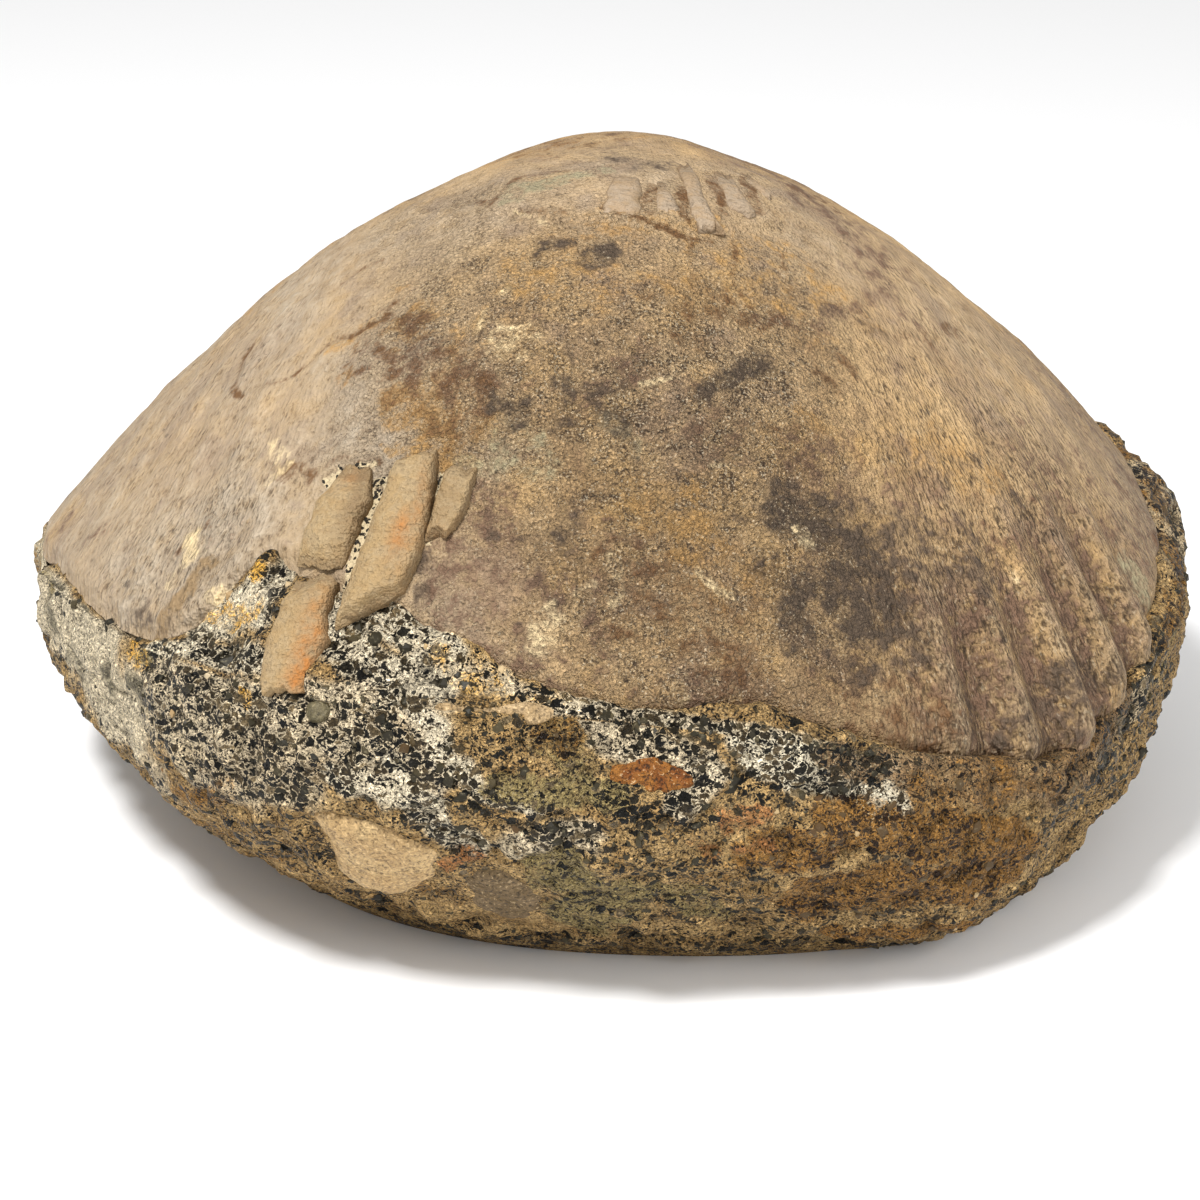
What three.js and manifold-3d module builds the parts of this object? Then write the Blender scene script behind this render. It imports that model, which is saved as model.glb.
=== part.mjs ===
// Fossil clam: the smooth stone cast of one big ribbed clam valve, hinge to the back, still
// seated on the gritty rock that it was buried in. A few strips of its ribbed shell are left
// on the cast, and the rock holds pebbles and chips.
// Millimetres, +Z up, the front of the clam faces -Y, and the rock rests flat on z = 0.
import * as THREE from 'three';
import { mergeVertices } from 'three/addons/utils/BufferGeometryUtils.js';
import Module from 'manifold-3d';

const wasm = await Module();
wasm.setup();

// ---------------------------------------------------------------- driving dimensions
// Rings of values go round the crest at equal steps, anticlockwise from +X.
const CREST = { x: 0.5, y: 6.8, z: 60.5 };
const MARGIN_RADIUS = [54, 48, 44, 42, 43, 47, 55, 54, 56, 54, 56, 55];
const MARGIN_HEIGHT = [22.5, 27, 28, 24, 22.5, 27, 28, 20];
const CREST_POWER = 1.85;
const SLOPE_POWER = [0.98, 0.72, 1.03, 0.92];
// How far the smooth cast reaches from the crest (0) to the margin (1).
const CAST_REACH = [
  0.74, 0.77, 0.83, 0.88, 0.92, 0.94, 0.94, 0.94, 0.93, 0.92, 0.91, 0.94,
  0.94, 0.86, 0.90, 0.88, 0.68, 0.76, 0.88, 0.87, 0.97, 1.00, 0.92, 0.81,
];

// The beak at the hinge: a knob that leans out over a hollow.
const BEAK = { bearing: 96, spread: 26, reach: 0.60, length: 0.20, out: 6.5, up: 2.5 };
const HINGE_HOLLOW = { bearing: 92, spread: 34, reach: 0.90, length: 0.16, out: -4.5, up: 0 };

// The rock below the margin: a belly that stands out, then an undercut down to the base.
const BELLY_OUT = [1.5, 1, 3, 5];
const BELLY_DROP = [8, 7, 10, 9];
const ROCK_STAND_OUT = [0.8, 0.4, 0.6, 0];
const BASE = { x: CREST.x + 3, y: CREST.y };
const BASE_RADIUS = [36, 32, 29, 31, 37, 43, 43, 46];

// The seam between cast and rock: the clear gap, how deep the edge of the cast is, how far
// the rock beside it stands below it, and the height of the hidden seat under the crest.
const GAP = 0.3;
const LIP = 1.2;
const LEDGE_DROP = 0.4;
const SEAT_HEIGHT = 31;

// Strips of shell, each from one plan point to another: width at both ends, and height.
// Plan points are measured from the crest.
const SHELL_STRIPS = [
  { name: 'rib_left_upper', from: [-22.9, -35.6], to: [-25.3, -41.3], width: [5.2, 4.6], height: 1.2 },
  { name: 'rib_left_lower', from: [-25.3, -42.4], to: [-26.9, -48.2], width: [4.4, 4.6], height: 2.2 },
  { name: 'rib_middle', from: [-16.7, -36.8], to: [-20.1, -45.6], width: [3.9, 4.7], height: 2.0 },
  { name: 'rib_right', from: [-13.2, -38.2], to: [-14.7, -42.0], width: [2.5, 2.1], height: 1.1 },
];

// The patch of short ribs on the crest: its four plan corners, rib count and heights.
const CREST_RIBS = {
  count: 5,
  backLeft: [-0.9, -7.4],
  backRight: [12.6, -1.8],
  frontLeft: [-0.4, -13.8],
  frontRight: [12.6, -10.6],
  sheet: 0.5,
  height: 0.8,
};

// Stones set in the rock: bearing and reach of the middle, then half sizes along the
// contour, down the slope and through the stone, and how deep its middle is sunk.
const STONES = [
  { name: 'pebble_tan', bearing: 248.3, reach: 1.89, half: [6.2, 4.6, 2.4], sunk: 1.5, turn: 8 },
  { name: 'pebble_grey', bearing: 258.2, reach: 2.3, half: [3.0, 2.6, 1.8], sunk: 1.0, turn: 0 },
  { name: 'pebble_olive', bearing: 244, reach: 1.04, half: [1.3, 1.2, 1.2], sunk: 0.5, turn: 0 },
  { name: 'chip_orange', bearing: 273.2, reach: 1.25, half: [4.2, 1.9, 1.3], sunk: 0.7, turn: -6 },
  { name: 'shell_sliver', bearing: 259.8, reach: 0.95, half: [4.8, 0.6, 1.1], sunk: 0.5, turn: -12 },
];

const COLOURS = {
  clam_cast: 0xa38a6c,
  rock: 0x857a62,
  shell: 0xc9ad80,
  crest_ribs: 0xc4b094,
  pebble_tan: 0xbc9f70,
  pebble_grey: 0x8c7556,
  pebble_olive: 0x6f6c4e,
  chip_orange: 0x9c6636,
  shell_sliver: 0xc2b08c,
};

// ---------------------------------------------------------------- the surface of the lump
const AROUND = 60;
const SAME_POINT = 1e-5;

// A smooth closed curve through the values of a ring (Catmull-Rom), read at a bearing.
function ring(values, bearing) {
  const n = values.length;
  const place = THREE.MathUtils.euclideanModulo(bearing / 360, 1) * n;
  const i = Math.floor(place);
  const t = place - i;
  const [a, b, c, d] = [-1, 0, 1, 2].map((k) => values[(i + k + n) % n]);
  return b + 0.5 * t * (c - a + t * (2 * a - 5 * b + 4 * c - d + t * (3 * (b - c) + d - a)));
}

// A soft round swelling over bearing and reach, 1 at its middle.
function swelling(spot, bearing, reach) {
  const turn = THREE.MathUtils.euclideanModulo(bearing - spot.bearing + 180, 360) - 180;
  return Math.exp(-((turn / spot.spread) ** 2) - ((reach - spot.reach) / spot.length) ** 2);
}

// Reach runs from 0 at the crest to 1 at the margin, then to 3 at the edge of the base.
// The valve is r = R q and z = Zm + (H - Zm) (1 - q^a)^b with q = sin(reach 90 degrees);
// the rock is a cubic Bezier curve from the margin by way of its belly to the base.
function lump(bearing, reach) {
  const angle = THREE.MathUtils.degToRad(bearing);
  const outward = new THREE.Vector3(Math.cos(angle), Math.sin(angle), 0);
  const radius = ring(MARGIN_RADIUS, bearing);
  const height = ring(MARGIN_HEIGHT, bearing);
  const q = Math.sin(Math.min(reach, 1) * Math.PI / 2);
  const rise = Math.max(1 - q ** CREST_POWER, 0) ** ring(SLOPE_POWER, bearing);
  const margin = new THREE.Vector3(CREST.x, CREST.y, height).addScaledVector(outward, radius);
  if (reach <= 1) {
    const point = new THREE.Vector3(CREST.x, CREST.y, height + (CREST.z - height) * rise);
    point.addScaledVector(outward, radius * q);
    for (const spot of [BEAK, HINGE_HOLLOW]) {
      const amount = swelling(spot, bearing, reach) * Math.sin(reach * Math.PI);
      point.addScaledVector(outward, spot.out * amount);
      point.z += spot.up * amount;
    }
    return point;
  }
  const belly = margin.clone().addScaledVector(outward, ring(BELLY_OUT, bearing));
  belly.z -= ring(BELLY_DROP, bearing);
  const base = new THREE.Vector3(BASE.x, BASE.y, 0);
  base.addScaledVector(outward, ring(BASE_RADIUS, bearing));
  const shoulder = margin.clone().lerp(belly, 1.15);
  const haunch = belly.clone().lerp(base, 0.42);
  return new THREE.CubicBezierCurve3(margin, shoulder, haunch, base).getPoint((reach - 1) / 2);
}

const REACH_STEP = 0.01;

// Position, outward normal, level contour direction and downhill direction on the lump.
function frameAt(bearing, reach) {
  const point = lump(bearing, reach);
  const along = lump(bearing + 1, reach).sub(lump(bearing - 1, reach)).normalize();
  const from = Math.min(Math.max(reach, REACH_STEP), 3 - REACH_STEP);
  const below = lump(bearing, from + REACH_STEP);
  const down = below.sub(lump(bearing, from - REACH_STEP)).normalize();
  const normal = down.clone().cross(along).normalize();
  return { point, along, down, normal };
}

function skin(bearing, reach, lift) {
  const { point, normal } = frameAt(bearing, reach);
  return point.addScaledVector(normal, lift);
}

// The bearing and reach of a plan point, measured from the crest.
function placeInPlan(x, y) {
  const bearing = THREE.MathUtils.radToDeg(Math.atan2(y, x));
  const q = Math.min(Math.hypot(x, y) / ring(MARGIN_RADIUS, bearing), 1);
  return { bearing, reach: Math.asin(q) * 2 / Math.PI };
}

// ---------------------------------------------------------------- solids
// A closed body from rows of points, each row a closed loop, with a point at each end.
function loft(first, rows, last) {
  const count = rows[0].length;
  const points = [first, ...rows.flat(), last];
  const faces = [];
  const at = (row, k) => 1 + row * count + (k % count);
  for (let k = 0; k < count; k += 1) {
    faces.push(0, at(0, k), at(0, k + 1));
    for (let row = 0; row + 1 < rows.length; row += 1) {
      faces.push(at(row, k), at(row + 1, k), at(row + 1, k + 1));
      faces.push(at(row, k), at(row + 1, k + 1), at(row, k + 1));
    }
    faces.push(at(rows.length - 1, k), points.length - 1, at(rows.length - 1, k + 1));
  }
  const geometry = new THREE.BufferGeometry();
  const flat = points.flatMap((p) => [p.x, p.y, p.z]);
  geometry.setAttribute('position', new THREE.Float32BufferAttribute(flat, 3));
  geometry.setIndex(faces);
  return geometry;
}

function loop(pointAt) {
  return Array.from({ length: AROUND }, (_, k) => pointAt(k * 360 / AROUND));
}

function solid(geometry) {
  const merged = mergeVertices(geometry, SAME_POINT);
  const vertProperties = new Float32Array(merged.attributes.position.array);
  const triVerts = new Uint32Array(merged.index.array);
  return new wasm.Manifold(new wasm.Mesh({ numProp: 3, vertProperties, triVerts }));
}

function geometryOf(manifold) {
  const mesh = manifold.getMesh();
  const geometry = new THREE.BufferGeometry();
  geometry.setAttribute('position', new THREE.BufferAttribute(mesh.vertProperties, 3));
  geometry.setIndex(new THREE.BufferAttribute(mesh.triVerts, 1));
  return geometry;
}

function piece(name, geometry, colour, roughness) {
  geometry.computeVertexNormals();
  const material = new THREE.MeshStandardMaterial({ color: colour, roughness, metalness: 0 });
  const mesh = new THREE.Mesh(geometry, material);
  mesh.name = name;
  return mesh;
}

// ---------------------------------------------------------------- cast and rock
// Rows of points: down the cast (closer together near its edge), shares of the way from the
// edge of the cast to the margin, reaches from there to the base, and up the seat.
const CAST_ROWS = 17;
const CAST_CROWDING = 0.9;
const SEAM_ROOM = 0.03;
const MARGIN_REACH = 1.02;
const LEDGE_SHARES = [0.3, 0.65];
const ROCK_REACHES = [1.04, 1.2, 1.45, 1.7, 1.95, 2.2, 2.45, 2.7, 2.88];
const SEAT_STEPS = [0.3, 0.6, 0.85];

// The seat surface under the cast: from the foot of the lip it arches up to its middle.
function seatPoint(foot, drop, fraction) {
  const middle = new THREE.Vector3(CREST.x, CREST.y, SEAT_HEIGHT - drop);
  const point = foot.clone().lerp(middle, fraction);
  point.z = foot.z + (middle.z - foot.z) * (1 - (1 - fraction) ** 2);
  return point;
}

function makeCast() {
  const rows = [];
  for (let i = 1; i <= CAST_ROWS; i += 1) {
    rows.push(loop((b) => lump(b, ring(CAST_REACH, b) * (i / CAST_ROWS) ** CAST_CROWDING)));
  }
  const foot = (b) => skin(b, ring(CAST_REACH, b), -LIP);
  rows.push(loop(foot));
  for (const f of SEAT_STEPS) rows.push(loop((b) => seatPoint(foot(b), 0, f)));
  const crest = new THREE.Vector3(CREST.x, CREST.y, CREST.z);
  const seat = new THREE.Vector3(CREST.x, CREST.y, SEAT_HEIGHT);
  return loft(crest, rows, seat);
}

function makeRock() {
  const ledge = (b, lift) => {
    const { point, normal, down } = frameAt(b, ring(CAST_REACH, b));
    return point.addScaledVector(normal, lift).addScaledVector(down, GAP + 0.05);
  };
  const foot = (b) => ledge(b, -LIP - GAP);
  const rows = [];
  for (const f of [...SEAT_STEPS].reverse()) rows.push(loop((b) => seatPoint(foot(b), GAP, f)));
  rows.push(loop(foot));
  rows.push(loop((b) => ledge(b, -LEDGE_DROP)));
  for (const share of LEDGE_SHARES) {
    rows.push(loop((b) => {
      const start = ring(CAST_REACH, b) + SEAM_ROOM;
      const reach = start + (MARGIN_REACH - start) * share;
      return skin(b, reach, ring(ROCK_STAND_OUT, b));
    }));
  }
  for (const reach of ROCK_REACHES) {
    rows.push(loop((b) => skin(b, reach, ring(ROCK_STAND_OUT, b) * (3 - reach) / 2)));
  }
  rows.push(loop((b) => lump(b, 3)));
  const seat = new THREE.Vector3(CREST.x, CREST.y, SEAT_HEIGHT - GAP);
  return loft(seat, rows, new THREE.Vector3(BASE.x, BASE.y, 0));
}

// ---------------------------------------------------------------- strips of shell
const STRIP_STATIONS = 7;
const STRIP_ARCH = 9;
const STRIP_FULLNESS = 0.8;
const STRIP_END_HEIGHT = 0.75;

// A rib is a low arch carried along a plan line on the cast, flat underneath.
function makeStrip(strip) {
  const start = new THREE.Vector2(...strip.from);
  const end = new THREE.Vector2(...strip.to);
  const middles = [];
  const rows = [];
  for (let i = 0; i <= STRIP_STATIONS; i += 1) {
    const f = i / STRIP_STATIONS;
    const plan = start.clone().lerp(end, f);
    const { bearing, reach } = placeInPlan(plan.x, plan.y);
    const { point, normal } = frameAt(bearing, reach);
    const heading = new THREE.Vector3(end.x - start.x, end.y - start.y, 0);
    const across = heading.cross(normal).normalize();
    const half = THREE.MathUtils.lerp(strip.width[0], strip.width[1], f) / 2;
    const taper = THREE.MathUtils.lerp(STRIP_END_HEIGHT, 1, Math.sin(f * Math.PI));
    point.addScaledVector(normal, GAP);
    const row = [];
    for (let k = 0; k <= STRIP_ARCH; k += 1) {
      const a = k * Math.PI / STRIP_ARCH;
      const up = strip.height * taper * Math.sin(a) ** STRIP_FULLNESS;
      row.push(point.clone().addScaledVector(across, half * Math.cos(a)).addScaledVector(normal, up));
    }
    rows.push(row);
    middles.push(point.clone().addScaledVector(normal, strip.height * 0.3));
  }
  return loft(middles[0], rows, middles[STRIP_STATIONS]);
}

const RIB_STEPS_ACROSS = 6;
const RIB_STEPS_DOWN = 4;

// The crest patch: a thin sheet whose top rises in a row of ribs side by side.
function makeCrestRibs() {
  const across = CREST_RIBS.count * RIB_STEPS_ACROSS;
  const down = RIB_STEPS_DOWN;
  const corner = (name) => new THREE.Vector2(...CREST_RIBS[name]);
  const grid = (lift) => {
    const rows = [];
    for (let j = 0; j <= down; j += 1) {
      const left = corner('backLeft').lerp(corner('frontLeft'), j / down);
      const right = corner('backRight').lerp(corner('frontRight'), j / down);
      rows.push(Array.from({ length: across + 1 }, (_, i) => {
        const plan = left.clone().lerp(right, i / across);
        const { bearing, reach } = placeInPlan(plan.x, plan.y);
        return skin(bearing, reach, GAP + lift(i / across, j / down));
      }));
    }
    return rows;
  };
  const ribs = (u) => Math.abs(Math.sin(u * CREST_RIBS.count * Math.PI)) ** STRIP_FULLNESS;
  const ends = (v) => Math.sin(Math.PI * (0.15 + 0.7 * v));
  const top = grid((u, v) => CREST_RIBS.sheet + CREST_RIBS.height * ribs(u) * ends(v));
  const under = grid(() => 0);
  // Each row of the loft goes across on top and comes back underneath.
  const rows = top.map((row, j) => row.concat([...under[j]].reverse()));
  const mid = (j) => under[j][across / 2].clone().lerp(top[j][across / 2], 0.5);
  return loft(mid(0), rows, mid(down));
}

// ---------------------------------------------------------------- stones in the rock
function makeStone(stone, grow) {
  const ball = new THREE.SphereGeometry(1, 14, 8);
  ball.deleteAttribute('normal');
  ball.deleteAttribute('uv');
  const { point, along, down, normal } = frameAt(stone.bearing, stone.reach);
  const turn = THREE.MathUtils.degToRad(stone.turn);
  const first = along.clone().multiplyScalar(Math.cos(turn)).addScaledVector(down, Math.sin(turn));
  const second = normal.clone().cross(first);
  const place = new THREE.Matrix4().makeBasis(first, second, normal);
  place.scale(new THREE.Vector3(...stone.half.map((h) => h + grow)));
  place.setPosition(point.addScaledVector(normal, -stone.sunk));
  return mergeVertices(ball.applyMatrix4(place), SAME_POINT);
}

// ---------------------------------------------------------------- assembly
const fossil = new THREE.Group();

let rock = solid(makeRock());
for (const stone of STONES) rock = rock.subtract(solid(makeStone(stone, GAP)));

fossil.add(piece('clam_cast', makeCast(), COLOURS.clam_cast, 0.85));
fossil.add(piece('rock_matrix', geometryOf(rock), COLOURS.rock, 0.9));
for (const strip of SHELL_STRIPS) {
  fossil.add(piece(strip.name, makeStrip(strip), COLOURS.shell, 0.6));
}
fossil.add(piece('crest_ribs', makeCrestRibs(), COLOURS.crest_ribs, 0.7));
for (const stone of STONES) {
  fossil.add(piece(stone.name, makeStone(stone, 0), COLOURS[stone.name], 0.6));
}

export default fossil;
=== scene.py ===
# Fossil clam: the smooth stone cast of one big ribbed clam valve, still on its gritty rock.
# Every shape is a surface worked out with numpy on the same rings of values as the solids,
# in millimetres, and every finish is a procedural material.
from itertools import combinations, product

import bpy
import numpy as np
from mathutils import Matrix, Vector


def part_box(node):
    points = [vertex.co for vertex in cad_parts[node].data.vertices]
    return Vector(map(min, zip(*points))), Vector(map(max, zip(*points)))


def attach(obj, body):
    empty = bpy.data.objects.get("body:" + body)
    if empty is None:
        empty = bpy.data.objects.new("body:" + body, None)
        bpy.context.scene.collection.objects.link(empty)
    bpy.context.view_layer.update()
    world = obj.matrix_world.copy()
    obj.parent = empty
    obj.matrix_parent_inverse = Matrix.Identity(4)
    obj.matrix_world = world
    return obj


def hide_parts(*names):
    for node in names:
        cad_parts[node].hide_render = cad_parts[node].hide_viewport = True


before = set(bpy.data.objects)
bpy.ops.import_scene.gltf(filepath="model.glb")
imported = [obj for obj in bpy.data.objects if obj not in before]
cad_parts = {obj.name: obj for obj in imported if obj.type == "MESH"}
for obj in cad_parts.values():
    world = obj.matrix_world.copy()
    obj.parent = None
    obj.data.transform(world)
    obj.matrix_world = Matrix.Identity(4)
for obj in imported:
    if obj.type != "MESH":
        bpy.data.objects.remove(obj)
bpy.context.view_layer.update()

# ------------------------------------------------------------------ driving dimensions
MM = 0.001
UP = np.array([0.0, 0.0, 1.0])
# Rings of values go round the crest at equal steps, anticlockwise from +X. A place on the lump
# is its bearing in degrees and its reach: 0 at the crest, 1 at the margin, 3 at the base.
CREST = np.array([0.5, 6.8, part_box("clam_cast")[1].z / MM])
MARGIN_RADIUS = [54, 48, 44, 42, 43, 47, 55, 54, 56, 54, 56, 55]
MARGIN_HEIGHT = [22.5, 27, 28, 24, 22.5, 27, 28, 20]
CREST_POWER = 1.85
SLOPE_POWER = [0.98, 0.72, 1.03, 0.92]
CAST_REACH = [
    0.76, 0.78, 0.84, 0.88, 0.92, 0.94, 0.94, 0.94, 0.93, 0.92, 0.92, 0.96,
    0.98, 0.86, 0.90, 0.88, 0.68, 0.76, 0.88, 0.86, 0.97, 1.12, 0.92, 0.82,
]
CAST_BITE = {"bearing": 230.5, "spread": 6, "depth": 0.14}
# Swellings over bearing and reach, in mm outwards (and upwards): the beak, the hollow of the
# hinge behind it, and the places where the rock stands out or falls back.
BEAK = {"bearing": 96, "spread": 26, "reach": 0.60, "length": 0.20, "out": 6.5, "up": 2.5}
HINGE_HOLLOW = {"bearing": 92, "spread": 34, "reach": 0.90, "length": 0.16, "out": -4.5, "up": 0}
ROCK_SWELLINGS = [
    {"bearing": 332, "spread": 14, "reach": 1.5, "length": 0.5, "out": -1.6},
    {"bearing": 318, "spread": 9, "reach": 2.0, "length": 0.5, "out": -2.0},
    {"bearing": 301, "spread": 8, "reach": 2.6, "length": 0.4, "out": 1.8},
    {"bearing": 204, "spread": 20, "reach": 1.4, "length": 0.5, "out": -1.3},
    {"bearing": 2, "spread": 20, "reach": 1.0, "length": 0.4, "out": 1.2},
    {"bearing": 350, "spread": 18, "reach": 1.3, "length": 0.35, "out": -1.6},
]
BELLY_OUT = [1.5, 1, 3, 5]
BELLY_DROP = [8, 7, 10, 9]
ROCK_STAND_OUT = [0.0, 0.3, -0.1, 0.2]
BASE_MIDDLE = np.array([CREST[0] + 3, CREST[1], 0])
BASE_RADIUS = [36, 32, 29, 31, 37, 43, 43, 46]
GAP = 0.3
SEAT_HEIGHT = 31
SEAT_STEPS = [0.3, 0.7, 1.0]

# How far the rock stands above the cast along the seam between them.
SEAM_STEP = [
    -0.2, -0.2, -0.2, -0.2, -0.1, 0.0, 0.0, 0.0, -0.1, -0.1, -0.2, -0.5,
    -0.9, -0.9, -0.7, -0.6, -0.7, -0.3, 0.0, 0.1, 0.0, 0.0, 0.0, -0.1,
]

# Ribs of the valve fan out from its beak, a plan point measured from the crest.
BEAK_PLAN = np.array([-4.0, 38.0])
RIB_STEP = 4.6
RIB_START = 21.2
BEAK_TIP = (96, 0.62)
FAN_RADIUS = 62

# The thin layer left on the crest ends to the front in a step along these plan points.
VENEER_STEP = [
    (-12, -10.6), (-9.7, -11.3), (-8, -12), (-4.8, -14.1), (2.2, -14.7), (9.3, -13.6),
    (14, -10), (20, -4),
]


# ------------------------------------------------------------------ numbers on arrays
def fade(value, start, end):
    """0 where value is at start, 1 where it is at end, and a soft S between them."""
    t = np.clip((value - start) / (end - start), 0, 1)
    return t * t * (3 - 2 * t)


def unit(vectors):
    """Vectors scaled to length 1."""
    return vectors / np.maximum(np.linalg.norm(vectors, axis=-1, keepdims=True), 1e-12)


def ring(values, bearing):
    """Smooth closed curve through a ring of values (Catmull-Rom), read at bearings in degrees."""
    values = np.asarray(values, float)
    place = np.asarray(bearing, float) / 360 % 1 * len(values)
    start = np.floor(place).astype(int)
    t = place - start
    a, b, c, d = (values[(start + k) % len(values)] for k in (-1, 0, 1, 2))
    return b + 0.5 * t * (c - a + t * (2 * a - 5 * b + 4 * c - d + t * (3 * (b - c) + d - a)))


def scatter(cell, seed):
    """A fixed random number from 0 to 1 for each whole-number cell: its digits mixed up."""
    x, y, z = (cell[..., k].astype(np.int64).astype(np.uint32) for k in range(3))
    mixed = x * np.uint32(374761393) + y * np.uint32(668265263) + z * np.uint32(2246822519)
    mixed = mixed + np.uint32(seed * 40503 + 977)
    mixed = (mixed ^ (mixed >> np.uint32(13))) * np.uint32(1274126177)
    mixed = (mixed ^ (mixed >> np.uint32(15))) * np.uint32(2654435761)
    return (mixed ^ (mixed >> np.uint32(16))) / 2**32


def noise(points, seed):
    """Smooth random field from -1 to 1, with features one unit across: corner values blended."""
    cell = np.floor(points).astype(np.int64)
    part = points - cell
    part = part * part * (3 - 2 * part)
    total = 0
    for corner in product((0, 1), repeat=3):
        share = np.prod(np.where(np.array(corner) == 1, part, 1 - part), axis=-1)
        total = total + share * scatter(cell + np.array(corner), seed)
    return 2 * total - 1


def fractal(points, size, octaves, seed):
    """Noise with features of that size in mm, plus layers each half as big and half as strong."""
    layers = range(octaves)
    return sum(0.5**k * noise(points * (2**k / size) + 17.3 * k, seed + k) for k in layers)


def cobbles(points, size, seed):
    """Rounded lumps packed side by side: 1 less the squared distance to the nearest of
    scattered middles, and a random number for each lump."""
    place = points / size
    cell = np.floor(place).astype(np.int64)
    best = np.full(place.shape[:-1], 9.0)
    kind = np.zeros(place.shape[:-1])
    for corner in product((-1, 0, 1), repeat=3):
        near = cell + np.array(corner)
        middle = near + np.stack([scatter(near, seed + k) for k in range(3)], axis=-1)
        apart = ((place - middle) ** 2).sum(axis=-1)
        kind = np.where(apart < best, scatter(near, seed + 3), kind)
        best = np.minimum(best, apart)
    return 1 - np.minimum(best, 1), kind


def stroke(plan, path, half_width, soft):
    """1 within half_width of a path of plan points, fading to 0 over a further soft mm."""
    path = np.asarray(path, float)
    ends = path[1:] if len(path) > 1 else path
    nearest = np.full(plan.shape[:-1], 1e6)
    for start, end in zip(path, ends):
        run = end - start
        t = np.clip((plan - start) @ run / max(run @ run, 1e-9), 0, 1)
        nearest = np.minimum(nearest, np.linalg.norm(plan - start - t[..., None] * run, axis=-1))
    return fade(nearest, half_width + soft, half_width)


def strokes(place, shake, rows):
    """The strongest of several strokes; each row is the numbers of its points, then half width,
    softness and strength. Soft strokes are shaken out of shape more than hard ones."""
    total = np.zeros(place.shape[:-1])
    for *path, half_width, soft, strength in rows:
        path = np.reshape(path, (-1, 2))
        shaken = place + min(1.1 * soft, 1.8) * shake
        total = np.maximum(total, strength * stroke(shaken, path, half_width, soft))
    return total


# ------------------------------------------------------------------ the surface of the lump
def swelling(spot, bearing, reach):
    """A soft round swelling over bearing and reach, 1 at its middle."""
    turn = (bearing - spot["bearing"] + 180) % 360 - 180
    return np.exp(-(turn / spot["spread"]) ** 2 - ((reach - spot["reach"]) / spot["length"]) ** 2)


def lump(bearing, reach):
    """Reach 0 to 1 is the valve: r = R q and z = Zm + (H - Zm) (1 - q^a)^b, with q the sine of
    reach quarter turns, and swellings for the beak. Reach 1 to 3 is the rock: a cubic Bezier
    curve from the margin by way of its belly to the edge of the base."""
    bearing, reach = np.broadcast_arrays(np.asarray(bearing, float), np.asarray(reach, float))
    angle = np.radians(bearing)
    outward = np.stack([np.cos(angle), np.sin(angle), np.zeros_like(angle)], axis=-1)
    ground = CREST * [1, 1, 0]
    radius = ring(MARGIN_RADIUS, bearing)[..., None]
    height = ring(MARGIN_HEIGHT, bearing)[..., None]
    q = np.sin(np.clip(reach, 0, 1) * np.pi / 2)[..., None]
    rise = np.maximum(1 - q**CREST_POWER, 0) ** ring(SLOPE_POWER, bearing)[..., None]
    valve = ground + outward * radius * q + UP * (height + (CREST[2] - height) * rise)
    for spot in (BEAK, HINGE_HOLLOW):
        amount = (swelling(spot, bearing, reach) * np.sin(reach * np.pi))[..., None]
        valve = valve + amount * (outward * spot["out"] + UP * spot["up"])
    margin = ground + outward * radius + UP * height
    belly = margin + outward * ring(BELLY_OUT, bearing)[..., None]
    belly = belly - UP * ring(BELLY_DROP, bearing)[..., None]
    base = BASE_MIDDLE + outward * ring(BASE_RADIUS, bearing)[..., None]
    shoulder = margin + (belly - margin) * 1.15
    haunch = belly + (base - belly) * 0.42
    t = np.clip((reach - 1) / 2, 0, 1)[..., None]
    rock = (1 - t) ** 3 * margin + 3 * t * (1 - t) ** 2 * shoulder
    rock = rock + 3 * t**2 * (1 - t) * haunch + t**3 * base
    return np.where(reach[..., None] <= 1, valve, rock)


def frame_at(bearing, reach):
    """Point on the lump, level direction along it, direction downhill, and outward normal."""
    bearing, reach = np.broadcast_arrays(np.asarray(bearing, float), np.asarray(reach, float))
    step = 0.01
    off_crest = np.maximum(reach, 0.02)
    along = unit(lump(bearing + 1, off_crest) - lump(bearing - 1, off_crest))
    inside = np.clip(off_crest, step, 3 - step)
    down = unit(lump(bearing, inside + step) - lump(bearing, inside - step))
    normal = unit(np.cross(down, along))
    return lump(bearing, reach), along, down, normal


def from_plan(x, y):
    """Bearing and reach of plan points on the valve, measured from the crest."""
    bearing = np.degrees(np.arctan2(y, x))
    q = np.minimum(np.hypot(x, y) / ring(MARGIN_RADIUS, bearing), 1)
    return bearing, np.arcsin(q) * 2 / np.pi


def plan_of(points):
    """Plan place of points, measured from the crest."""
    return (points - CREST)[..., :2]


def unrolled(bearing, reach):
    """The rock's side laid flat in mm: along the contour from the front, and down the slope
    from the margin."""
    across = ((np.asarray(bearing, float) - 90) % 360 - 180) * 0.95
    past = np.asarray(reach, float) - 1
    return np.stack(np.broadcast_arrays(across, np.where(past < 0, 55, 17) * past), axis=-1)


def cast_edge(bearing):
    """Reach of the cast's edge: its ring of values, scalloped, less the bite on the left."""
    angle = np.radians(bearing)
    circle = np.stack([np.cos(angle), np.sin(angle), np.zeros_like(angle)], axis=-1) * 52
    past = (bearing - CAST_BITE["bearing"]) / CAST_BITE["spread"]
    bite = CAST_BITE["depth"] * np.exp(-(past**2))
    return ring(CAST_REACH, bearing) - bite + 0.013 * fractal(circle, 4, 4, 31)


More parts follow.
